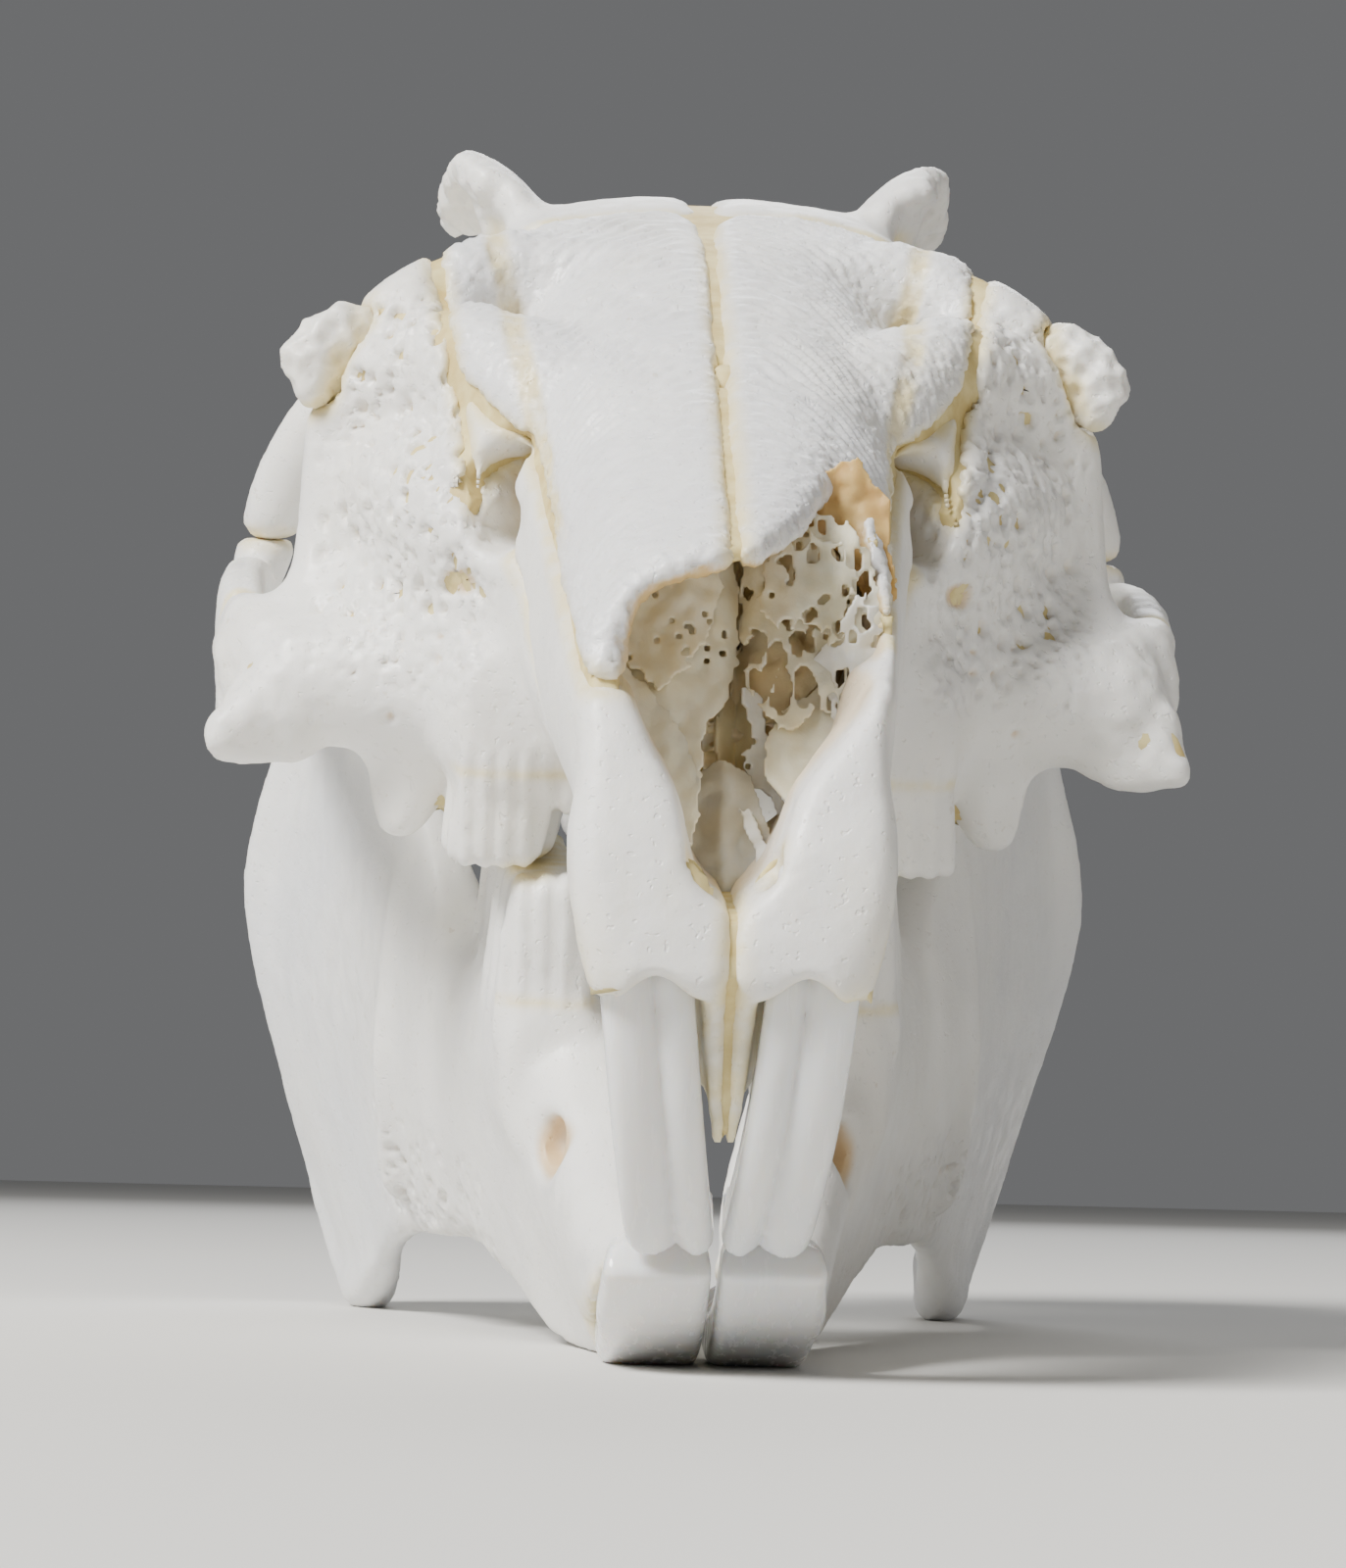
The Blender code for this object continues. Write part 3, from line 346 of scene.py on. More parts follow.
# %% [markdown]
# ## Bone as a material
#
# Clean bone is a cool white with a faint translucency. Fat that stayed in it shows as
# straw yellow along the seams, and old tissue as amber at the bottom of pits. Tan in the
# recesses and brown on the walls inside the nose are painted shade. The meshes carry numbers
# for each vertex: seam, pit, hollow shade, thin and inner shade, and the material mixes its
# colours by them. An image texture would have to be painted and unwrapped, while these follow
# the surface by themselves. Fine grain comes from noise in Object coordinates through Bump.

# %% Material helpers


def new_material(name, roughness, translucency):
    """A material with its Principled shader set for bone or tooth."""
    material = bpy.data.materials.new(name)
    material.use_nodes = True
    shader = material.node_tree.nodes["Principled BSDF"]
    shader.inputs["Roughness"].default_value = roughness
    shader.inputs["IOR"].default_value = 1.5
    shader.inputs["Subsurface Weight"].default_value = translucency
    shader.inputs["Subsurface Radius"].default_value = (1.0, 0.72, 0.45)
    shader.inputs["Subsurface Scale"].default_value = 1.2 * MM
    return material, shader


class Graph:
    """Short names for adding and wiring shader nodes."""

    def __init__(self, material):
        self.nodes = material.node_tree.nodes
        self.links = material.node_tree.links
        self.place = self.nodes.new("ShaderNodeTexCoord").outputs["Object"]

    def put(self, value, socket):
        """Link an output to a socket, or set the socket to a plain value."""
        if hasattr(value, "is_output"):
            self.links.new(value, socket)
        else:
            socket.default_value = value

    def noise(self, size, detail, stretch=(1, 1, 1)):
        """Noise with features of about size millimetres, stretched along the skull's axes."""
        mapping = self.nodes.new("ShaderNodeMapping")
        mapping.vector_type = "TEXTURE"
        mapping.inputs["Rotation"].default_value = (NOSE_DOWN, 0, 0)
        mapping.inputs["Scale"].default_value = [s * size * MM for s in stretch]
        self.links.new(self.place, mapping.inputs["Vector"])
        node = self.nodes.new("ShaderNodeTexNoise")
        node.inputs["Scale"].default_value = 1.0
        node.inputs["Detail"].default_value = detail
        node.inputs["Roughness"].default_value = 0.55
        self.links.new(mapping.outputs["Vector"], node.inputs["Vector"])
        return node.outputs["Fac"]

    def ramp(self, value, low, high, out_low=0.0, out_high=1.0):
        """Map a value from one range to another, held at the ends."""
        node = self.nodes.new("ShaderNodeMapRange")
        node.interpolation_type = "SMOOTHSTEP"
        for name, number in zip(("From Min", "From Max", "To Min", "To Max"),
                                (low, high, out_low, out_high)):
            node.inputs[name].default_value = number
        self.links.new(value, node.inputs["Value"])
        return node.outputs["Result"]

    def mix(self, share, first, second):
        """Mix two colours by a share from 0 to 1."""
        node = self.nodes.new("ShaderNodeMix")
        node.data_type = "RGBA"
        self.put(share, node.inputs[0])
        self.put(first, node.inputs[6])
        self.put(second, node.inputs[7])
        return node.outputs[2]

    def times(self, first, second):
        """The product of two values."""
        node = self.nodes.new("ShaderNodeMath")
        node.operation = "MULTIPLY"
        self.put(first, node.inputs[0])
        self.put(second, node.inputs[1])
        return node.outputs[0]

    def attribute(self, name):
        """The number that each vertex of the piece carries under this name."""
        node = self.nodes.new("ShaderNodeAttribute")
        node.attribute_name = name
        return node.outputs["Fac"]

    def bump(self, height, strength, distance, after=None):
        """A bump of distance millimetres, optionally on top of another."""
        node = self.nodes.new("ShaderNodeBump")
        node.inputs["Strength"].default_value = strength
        node.inputs["Distance"].default_value = distance * MM
        self.links.new(height, node.inputs["Height"])
        if after:
            self.links.new(after, node.inputs["Normal"])
        return node.outputs["Normal"]


# %% Bone
# Painted shade: the tan that bone gets in its recesses, where shade falls.
PAINTED_SHADE_TAN = (0.80, 0.68, 0.48, 1)
THIN_GREY = (0.70, 0.73, 0.78, 1)
SPECK_BROWN = (0.52, 0.42, 0.28, 1)
SEAM_STRAW = (0.80, 0.70, 0.42, 1)
PIT_AMBER = (0.64, 0.43, 0.18, 1)
# Painted shade: brown on the walls that face into the nose.
INNER_SHADE_BROWN = (0.66, 0.48, 0.22, 1)


def bone_material(name, white, yellow, grain_stretch, grain_height, roughness):
    """Bone of one colour and grain."""
    material, shader = new_material(name, roughness, 0.12)
    g = Graph(material)
    clouds = g.ramp(g.noise(7.0, 3), 0.35, 0.68)
    grey = tuple(c * 0.93 for c in white[:2]) + (white[2] * 0.95, 1)
    colour = g.mix(clouds, (*white, 1), grey)
    warm = g.ramp(g.noise(13.0, 2), 0.52, 0.75, 0.0, 0.32)
    colour = g.mix(warm, colour, (*yellow, 1))
    # Painted shade: tan mixed in by how deep the vertex lies in a recess.
    colour = g.mix(g.times(g.attribute("hollow"), 0.45), colour, PAINTED_SHADE_TAN)
    colour = g.mix(g.attribute("thin"), colour, THIN_GREY)
    specks = g.ramp(g.noise(0.55, 2), 0.70, 0.76, 0.0, 0.30)
    colour = g.mix(specks, colour, SPECK_BROWN)
    ragged = g.times(g.attribute("seam"), g.ramp(g.noise(1.6, 5), 0.30, 0.60, 0.35, 1.0))
    colour = g.mix(ragged, colour, SEAM_STRAW)
    colour = g.mix(g.ramp(g.attribute("pit"), 0.22, 0.9, 0.0, 0.80), colour, PIT_AMBER)
    # Painted shade: brown on the walls that face into the nose.
    colour = g.mix(g.attribute("inner"), colour, INNER_SHADE_BROWN)
    g.put(colour, shader.inputs["Base Color"])
    g.put(g.ramp(g.noise(1.2, 3), 0.3, 0.7, roughness - 0.08, roughness + 0.14), shader.inputs["Roughness"])
    fibres = g.bump(g.noise(0.35, 5, grain_stretch), 0.55, grain_height)
    pores = g.bump(g.ramp(g.noise(0.28, 1), 0.25, 0.36), 0.5, 0.06, fibres)
    g.put(pores, shader.inputs["Normal"])
    return material


plain_bone = bone_material("bone", (0.86, 0.85, 0.81), (0.86, 0.80, 0.66), (1, 3, 1), 0.05, 0.40)
nasal_bone = bone_material("nasal_bone", (0.81, 0.81, 0.80), (0.83, 0.80, 0.71), (1.4, 3.2, 1), 0.11, 0.36)
print("bone materials:", plain_bone.name, nasal_bone.name)

# %% [markdown]
# ## The bones
#
# A CAD bone has a few hundred flat triangles. Subdividing the copy rounds it, a voxel remesh
# gives it even small faces, and a light smoothing takes the steps away. It then stands out
# by a tenth or two of a millimetre, so the seams between bones close to hairlines.

# %% One fine bone
BONE_VOXEL = {
    "nasal": 0.18, "premaxilla": 0.21, "maxilla": 0.21, "lacrimal": 0.14, "zygomatic": 0.2,
    "frontal": 0.22, "braincase": 0.3, "occipital": 0.27, "tympanic_bulla": 0.22, "mandible": 0.26,
}
BONE_GROWTH = {
    "braincase": 0.26, "occipital": 0.26, "frontal": 0.18, "tympanic_bulla": 0.15, "zygomatic": 0.15,
}
OTHER_GROWTH = 0.1


def neighbours_of(node):
    """A search tree over every other bone of the CAD model."""
    corners, faces = [], []
    for name, obj in frame["nodes"].items():
        if name == node or name in ("turbinals", "vomer"):
            continue
        start = len(corners)
        corners += [vertex.co for vertex in obj.data.vertices]
        faces += [[start + i for i in polygon.vertices] for polygon in obj.data.polygons]
    return BVHTree.FromPolygons(corners, faces)


def fine_bone(node, voxel, grow):
    """A fine copy of one bone that takes its place."""
    obj = copy_of(node, f"fine_{node}")
    shape(obj, "SUBSURF", levels=2, render_levels=2)
    shape(obj, "REMESH", mode="VOXEL", voxel_size=voxel * MM)
    shape(obj, "SMOOTH", factor=0.5, iterations=5)
    shape(obj, "DISPLACE", strength=grow * MM, mid_level=0.0)
    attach(obj, "root")
    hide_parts(node)
    return obj


def arch_rim(obj):
    """Draw in the rim of the front teeth's sockets and curve it up over each tooth's groove."""
    places = points_of(obj)
    x, y, z = in_skull(places).T
    arch = np.exp(-((abs(x) - 2.4) / 0.95) ** 2) * (1 - ramp(z, 6.6, 10.4)) * (1 - ramp(y, -1.5, 0.5))
    taper = (1 - ramp(z, 6.4, 12.0)) * ramp(abs(x), 2.9, 4.3) * (1 - ramp(y, -0.5, 1.5))
    set_points(obj, places + arch[:, None] * 0.95 * MM * UP
               - (taper * np.sign(x))[:, None] * 0.42 * MM * ACROSS)


bones = {}
for node in frame["nodes"]:
    kind = node.replace("_left", "").replace("_right", "")
    if kind in BONE_VOXEL:
        bones[node] = fine_bone(node, BONE_VOXEL[kind], BONE_GROWTH.get(kind, OTHER_GROWTH))
        if kind == "premaxilla":
            arch_rim(bones[node])
print("fine bones:", {name: len(obj.data.vertices) for name, obj in bones.items()})
print("seconds so far:", round(time.time() - started))

# %% [markdown]
# ## Pores, pits and worn edges
#
# Rabbits are known by the lace of holes in the side of the face, in front of the eye. Round
# pits of two sizes are pressed into the cheek there, on a crumbly ground. Growth lines cross
# the nasal bones in fine arcs, the knobs in front of the eye are rough, and all bone has a
# faint unevenness that keeps highlights from being perfect. Real displacement is used, not
# bump alone, because the pits show at the outline.

# %% Surface detail
fine_grain = texture("CLOUDS", 0.5, noise_depth=3)
waves = texture("CLOUDS", 2.6, noise_depth=2)
fibres = texture("CLOUDS", 0.36, noise_depth=4)
small_pits, wide_pits = pit_texture(0.50, 0.40), pit_texture(1.15, 0.34)
crumbs = texture("VORONOI", 0.75)
UPPER_FLUTES, LOWER_FLUTES = 0.78, 0.90
GROWTH_LINES = 0.95
VESSEL_HOLES = {
    "maxilla": [((10.4, 26, 17.0), (0.45, 5, 0.4)), ((10.4, 26, 16.2), (0.55, 5, 0.5)),
                ((9.6, 24, 19.2), (1.1, 5, 0.9)), ((12.3, 27, 13.7), (0.5, 5, 0.5))],
    "mandible": [((5.8, 16.8, -1.7), (3.4, 2.4, 1.7))],
}
SIDE_SEAM = [(20.9, 6.0, 14), (23.5, 6.6, 22), (25.8, 7.0, 27), (28.5, 7.7, 32), (31.3, 8.4, 37),
             (34.3, 9.2, 41)]
BROKEN_EDGE = [(-4.3, 0.9), (-3.0, 1.5), (-1.3, 1.9), (0.1, 2.3), (1.3, 3.6), (2.8, 7.4), (3.7, 12.0),
               (4.1, 13.4), (5.0, 9.5), (5.4, 4.0)]


def side_seam(x, y, z):
    """1 on the long seam beside each nasal bone, falling to 0 within a millimetre of it."""
    zs, xs, ys = zip(*SIDE_SEAM)
    beside, off = abs(x - np.interp(z, zs, xs)), abs(y - np.interp(z, zs, ys))
    length = (1 - ramp(off, 10, 13)) * ramp(z, 20.5, 22) * (1 - ramp(z, 33.6, 34.6))
    return (1 - ramp(beside, 0.15, 0.7)) * length


def edge_distance(across, along):
    """Distance from the broken edge, seen from above."""
    distance = np.full(across.shape, 1e9)
    for (ax, ay), (bx, by) in zip(BROKEN_EDGE, BROKEN_EDGE[1:]):
        ex, ey = bx - ax, by - ay
        t = np.clip(((across - ax) * ex + (along - ay) * ey) / (ex * ex + ey * ey), 0, 1)
        distance = np.minimum(distance, np.hypot(across - ax - t * ex, along - ay - t * ey))
    return distance


def flutes(places, period):
    """Fine upright ridges of a cheek tooth, slightly uneven."""
    return np.sin(places[:, 0] * 2 * math.pi / period + 1.2 * uneven(places, 2.0, 4.0))


def wrinkle(obj, places):
    """Growth lines across a nasal bone: arcs behind, fading to fine cracks in front."""
    across, along = abs(places[:, 0]), places[:, 1]
    bent = along + 0.10 * across**2 + 1.1 * uneven(places, 4.0) + 0.35 * uneven(places, 1.1, 7.0)
    height = np.sin(bent * 2 * math.pi / GROWTH_LINES) * (0.6 + 0.8 * uneven(places, 2.2, 3.0))
    fade = ramp(along, 7, 18) * ramp(across, 0.7, 1.6) * (1 - 0.7 * ramp(across, 5.0, 7.0))
    push_out(obj, 0.11 * MM * height * fade)


for node, obj in bones.items():
    kind = node.split("_")[0]
    places = in_skull(points_of(obj))
    x, y, z = abs(places[:, 0]), places[:, 1], places[:, 2]
    roughen(obj, waves, 0.14)
    roughen(obj, fine_grain, 0.05)
    if kind == "maxilla":
        lace = (ramp(x, 7.6, 9.4) * ramp(y, 17.5, 20) * (1 - ramp(y, 30, 33))
                * ramp(z, 13.5, 16) * (1 - ramp(z, 30, 31.5)) * (1 - ramp(x, 14.0, 16.5)))
        roughen(obj, crumbs, 0.16, lace, stretch=(0.8, 0.8, 0.8))
        roughen(obj, small_pits, 0.27, lace, 1.0)
        roughen(obj, wide_pits, 0.50, lace * ramp(z, 16, 18), 1.0)
        roughen(obj, waves, 0.9, ramp(x, 14.5, 17) * (1 - ramp(z, 16, 19)))
        teeth = (1 - ramp(z, 12.6, 13.2)) * (1 - ramp(y, 38.5, 39.5)) * (1 - ramp(x, 10.4, 10.9))
        ridges = flutes(places, UPPER_FLUTES) * (1 - ramp(y, 21.4, 22.0)) * teeth
        push_out(obj, 0.07 * MM * ridges)
    if kind == "nasal":
        slit = near(places, (0.2, 18.0, 28.2), (1.0, 1.6, 2.0)) * np.sign(places[:, 0])
        push_along(obj, ACROSS, slit * 0.16 * MM)
        wrinkle(obj, places)
        roughen(obj, fibres, 0.30, ramp(x, 4.6, 6.4), stretch=(0.7, 5.0, 0.7))
        roughen(obj, fibres, 0.13, stretch=(1.5, 0.8, 1))
        roughen(obj, fibres, 0.22, ramp(x, 2.6, 3.4) * (1 - ramp(y, 6, 10)), stretch=(0.7, 0.7, 0.7))
        rim = 1 - ramp(edge_distance(places[:, 0], y), 0.3, 1.4)
        roughen(obj, fibres, 0.34, rim, stretch=(0.9, 0.9, 0.9))
    if kind == "lacrimal":
        roughen(obj, crumbs, 0.42)
    if kind == "frontal":
        roughen(obj, crumbs, 0.5, ramp(x, 8.5, 10.5), stretch=(1.2, 1.2, 1.2))
    if kind == "zygomatic":
        roughen(obj, crumbs, 0.3, 1 - ramp(y, 26, 30))
    if kind == "mandible":
        side = ramp(y, 26, 32) * (1 - ramp(y, 44, 50)) * (1 - ramp(z, -7, -4))
        roughen(obj, small_pits, 0.3, side, 1.0, stretch=(1.5, 1.5, 1.5))
        teeth = ramp(z, 2.6, 3.6) * (1 - ramp(y, 21.4, 22.0)) * ramp(x, 3.2, 3.8) * (1 - ramp(x, 7.4, 8.0))
        push_out(obj, 0.09 * MM * (flutes(places, LOWER_FLUTES) * teeth))
    holes = np.zeros(len(places))
    for centre, reach in VESSEL_HOLES.get(kind, []):
        spot = near(np.stack([x, y, z], 1), centre, reach)
        holes = np.maximum(holes, spot)
        push_out(obj, -0.35 * MM * spot)
    keep_as(obj, "hole", holes)
    if kind in ("nasal", "premaxilla", "frontal", "maxilla"):
        seam = side_seam(x, y, z) * (0.8 + 0.4 * uneven(places, 1.5, 11.0))
        push_out(obj, -0.16 * MM * seam)
        keep_as(obj, "drawn_seam", seam)
print("seconds so far:", round(time.time() - started))

# %% [markdown]
# ## Where the colour goes
#
# A vertex that lies lower than its slightly smoothed surroundings is in a pit, one that lies
# lower than its strongly smoothed surroundings is in a recess and gets a tan painted shade, and
# one within a millimetre of another bone is at a seam. A faint line marks the gum on the cheek
# teeth, the rear of the jaw is thin, and the walls facing into the nose get a brown painted
# shade. All of it is measured once and stored.

# %% Measure pits and seams
SEAM_REACH = 1.1
UPPER_GUM, LOWER_GUM = 12.0, 3.2


def inside_nose(places, normals):
    """1 on the walls that face the middle of the nose, where brown painted shade goes."""
    places = in_skull(places)
    normals = normals @ SKULL_AXES
    middle = np.stack([places[:, 0] * 0, places[:, 1], 16.2 + 0.36 * places[:, 1]], 1)
    towards = middle - places
    away = np.linalg.norm(towards, axis=1)
    facing = (towards * normals).sum(1) / np.maximum(away, 0.01)
    return ramp(facing, 0.35, 0.8) * (1 - ramp(away, 7.2, 8.4)) * ramp(places[:, 1], -1.0, 2.0)


for node, obj in bones.items():
    places, normals = points_of(obj), normals_of(obj)
    shape(obj, "SMOOTH", factor=0.5, iterations=14)
    depth = ((points_of(obj) - places) * normals).sum(1) / MM
    shape(obj, "SMOOTH", factor=0.9, iterations=36)
    wide = ((points_of(obj) - places) * normals).sum(1) / MM
    set_points(obj, places)
    keep_as(obj, "pit", np.maximum(np.clip((depth - 0.07) / 0.28, 0, 1), kept_as(obj, "hole")))
    # How far a vertex lies in a recess, for the tan painted shade.
    keep_as(obj, "hollow", ramp(wide, 0.04, 0.45))
    tree = neighbours_of(node)
    gaps = np.array([tree.find_nearest(Vector(place), SEAM_REACH * MM)[3] or SEAM_REACH * MM
                     for place in places]) / MM
    seam = 1 - ramp(gaps, 0.25, SEAM_REACH)
    x, y, z = in_skull(places).T
    x = abs(x)
    kind = node.split("_")[0]
    if kind in ("nasal", "premaxilla", "maxilla", "frontal"):
        seam = np.maximum(seam, np.minimum(1.4 * kept_as(obj, "drawn_seam"), 1))
        # The walls facing into the nose get brown painted shade, less of it on the premaxilla.
        keep_as(obj, "inner", inside_nose(places, normals) * (0.55 if kind == "premaxilla" else 1))
    if kind in ("maxilla", "mandible"):
        level = UPPER_GUM if kind == "maxilla" else LOWER_GUM
        gum = (np.exp(-((z - level) / 0.22) ** 2) * ramp(y, 19.0, 19.8) * (1 - ramp(y, 21.4, 22.4))
               * (1 - ramp(x, 10.0, 10.8)))
        seam = np.maximum(seam, 0.8 * gum)
    if kind == "mandible":
        keep_as(obj, "thin", 0.45 * ramp(y, 38, 52) * (0.7 + 0.6 * uneven(in_skull(places), 9.0, 5.0)))
    keep_as(obj, "seam", seam)
    obj.data.materials.append(nasal_bone if kind == "nasal" else plain_bone)
    obj.data.shade_smooth()
print("seconds so far:", round(time.time() - started))

# %% [markdown]
# ## Front teeth
#
# The enamel of a front tooth is smooth, hard and slightly see-through, so it is greyer and
# glossier than the bone. A finer copy of the CAD tooth keeps its deep groove.

# %% Enamel
TOOTH_VOXEL = 0.12
enamel, enamel_shader = new_material("enamel", 0.2, 0.5)
g = Graph(enamel)
tooth_colour = g.mix(g.ramp(g.noise(3.0, 2, (1, 1, 4)), 0.35, 0.7), (0.82, 0.82, 0.81, 1),
                     (0.75, 0.77, 0.79, 1))
tooth_colour = g.mix(g.ramp(g.noise(1.0, 3, (0.3, 1, 5)), 0.55, 0.75, 0.0, 0.25), tooth_colour,
                     (0.80, 0.76, 0.66, 1))
g.put(tooth_colour, enamel_shader.inputs["Base Color"])
g.put(g.ramp(g.noise(0.8, 3, (0.4, 1, 4)), 0.3, 0.7, 0.16, 0.30), enamel_shader.inputs["Roughness"])
g.put(g.bump(g.noise(0.8, 2, (0.5, 1, 6)), 0.2, 0.02), enamel_shader.inputs["Normal"])
enamel_shader.inputs["Coat Weight"].default_value = 0.3
enamel_shader.inputs["Coat Roughness"].default_value = 0.12

for node in ("upper_incisor_left", "upper_incisor_right", "lower_incisor_left", "lower_incisor_right"):
    obj = copy_of(node, f"fine_{node}")
    shape(obj, "REMESH", mode="VOXEL", voxel_size=TOOTH_VOXEL * MM)
    shape(obj, "SMOOTH", factor=0.5, iterations=24 if node.startswith("lower") else 9)
    shape(obj, "DISPLACE", strength=0.08 * MM, mid_level=0.0)
    if node.startswith("lower"):
        x, y, z = in_skull(points_of(obj)).T
        splay = (1 - ramp(z, -6.5, -2.0)) * ramp(abs(x), 0.3, 3.6) * (1 - ramp(y, 2.0, 5.0))
        push_along(obj, ACROSS, splay * np.sign(x) * 0.35 * MM)
    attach(obj, "root")
    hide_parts(node)
    obj.data.materials.append(enamel)
    obj.data.shade_smooth()
print("seconds so far:", round(time.time() - started))

# %% [markdown]
# ## The scrolls in the nose
#
# Behind the broken edge the nose is filled with thin scrolls of bone, tan and pitted. The CAD
# model has one body for them. Its copy is drawn back here, to be the depth behind the sheets
# that follow, and it is pitted all over, because it shows through their holes. Its darker tan
# is painted shade for that depth.

# %% Spongy bone
def thin_bone(name, light, dark, translucency):
    """Thin bone that old tissue has coloured, darker in its pits."""
    material, shader = new_material(name, 0.5, translucency)
    g = Graph(material)
    colour = g.mix(g.ramp(g.noise(1.8, 4), 0.3, 0.7), (*light, 1), (*dark, 1))
    colour = g.mix(g.ramp(g.attribute("pit"), 0.2, 1.0, 0.0, 0.85), colour, (0.42, 0.27, 0.10, 1))
    g.put(colour, shader.inputs["Base Color"])
    g.put(g.bump(g.noise(0.25, 4), 0.5, 0.05), shader.inputs["Normal"])
    return material


# Painted shade: the core and the septum, deep in the nose, get a darker tan than the sheets in front.
deep_bone = thin_bone("deep_bone", (0.84, 0.73, 0.49), (0.72, 0.58, 0.34), 0.4)
amber_bone = thin_bone("amber_bone", (0.66, 0.42, 0.16), (0.52, 0.28, 0.09), 0.4)
tan_bone = thin_bone("tan_bone", (0.87, 0.81, 0.63), (0.80, 0.70, 0.47), 0.4)
pale_bone = thin_bone("pale_bone", (0.84, 0.82, 0.76), (0.80, 0.75, 0.62), 0.4)
grey_bone = thin_bone("grey_bone", (0.66, 0.62, 0.53), (0.58, 0.51, 0.38), 0.5)


def scroll_depth(across, up):
    """The front of the scrolls: it leans back as it rises, with a lobe on each side."""
    lobe = np.cos(np.clip((abs(across - 0.4) - 2.2) / 2.2, -1.5, 1.5))
    groove = 0.9 * np.exp(-((across - 0.4) / 0.45) ** 2)
    return 6.0 + 0.62 * (up - 16.4) - 0.9 * lobe + groove


CORE_BEHIND = 1.7
core = copy_of("turbinals", "scroll_core")
shape(core, "REMESH", mode="VOXEL", voxel_size=0.2 * MM)
shape(core, "SMOOTH", factor=0.5, iterations=6)
core_places = in_skull(points_of(core))
front = scroll_depth(core_places[:, 0], core_places[:, 2]) + CORE_BEHIND
push_along(core, BACK, np.maximum(front - core_places[:, 1], 0) * MM)
before = points_of(core)
roughen(core, texture("CLOUDS", 1.6, noise_depth=3), 0.7)
roughen(core, pit_texture(0.7, 0.4), 0.5, None, 1.0, stretch=(1, 1, 2))
keep_as(core, "pit", np.clip(np.linalg.norm(points_of(core) - before, axis=1) / MM / 0.6 - 0.3, 0, 1))
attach(core, "root")
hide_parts("turbinals")
core.data.materials.append(deep_bone)
core.data.shade_smooth()
print("scroll core faces:", len(core.data.polygons))

# %% [markdown]
# ## Thin sheets with ragged edges
#
# The front of the scrolls is a curtain of bone no thicker than paper, with ragged lobes, slits
# and clusters of tiny holes. Each sheet starts as a flat grid that is pulled to its depth,
# then every face outside its outline is deleted, where noise added to the distance from the
# outline makes the edge ragged. Solidify gives it a wall, and smoothing rounds the rim.

# %% Sheets
SHEET_STEP = 0.085
SHEET_WALL = 0.16


def outline_distance(across, up, outline):
    """Distance inside an outline, negative outside of it, for arrays of places."""
    distance = np.full(across.shape, 1e9)
    inside = np.zeros(across.shape, bool)
    for (ax, az), (bx, bz) in zip(outline, outline[1:] + outline[:1]):
        ex, ez = bx - ax, bz - az
        t = np.clip(((across - ax) * ex + (up - az) * ez) / (ex * ex + ez * ez), 0, 1)
        distance = np.minimum(distance, np.hypot(across - ax - t * ex, up - az - t * ez))
        crosses = (az > up) != (bz > up)
        with np.errstate(divide="ignore", invalid="ignore"):
            inside ^= crosses & (across < (up - az) * ex / (bz - az) + ax)
    return np.where(inside, distance, -distance)


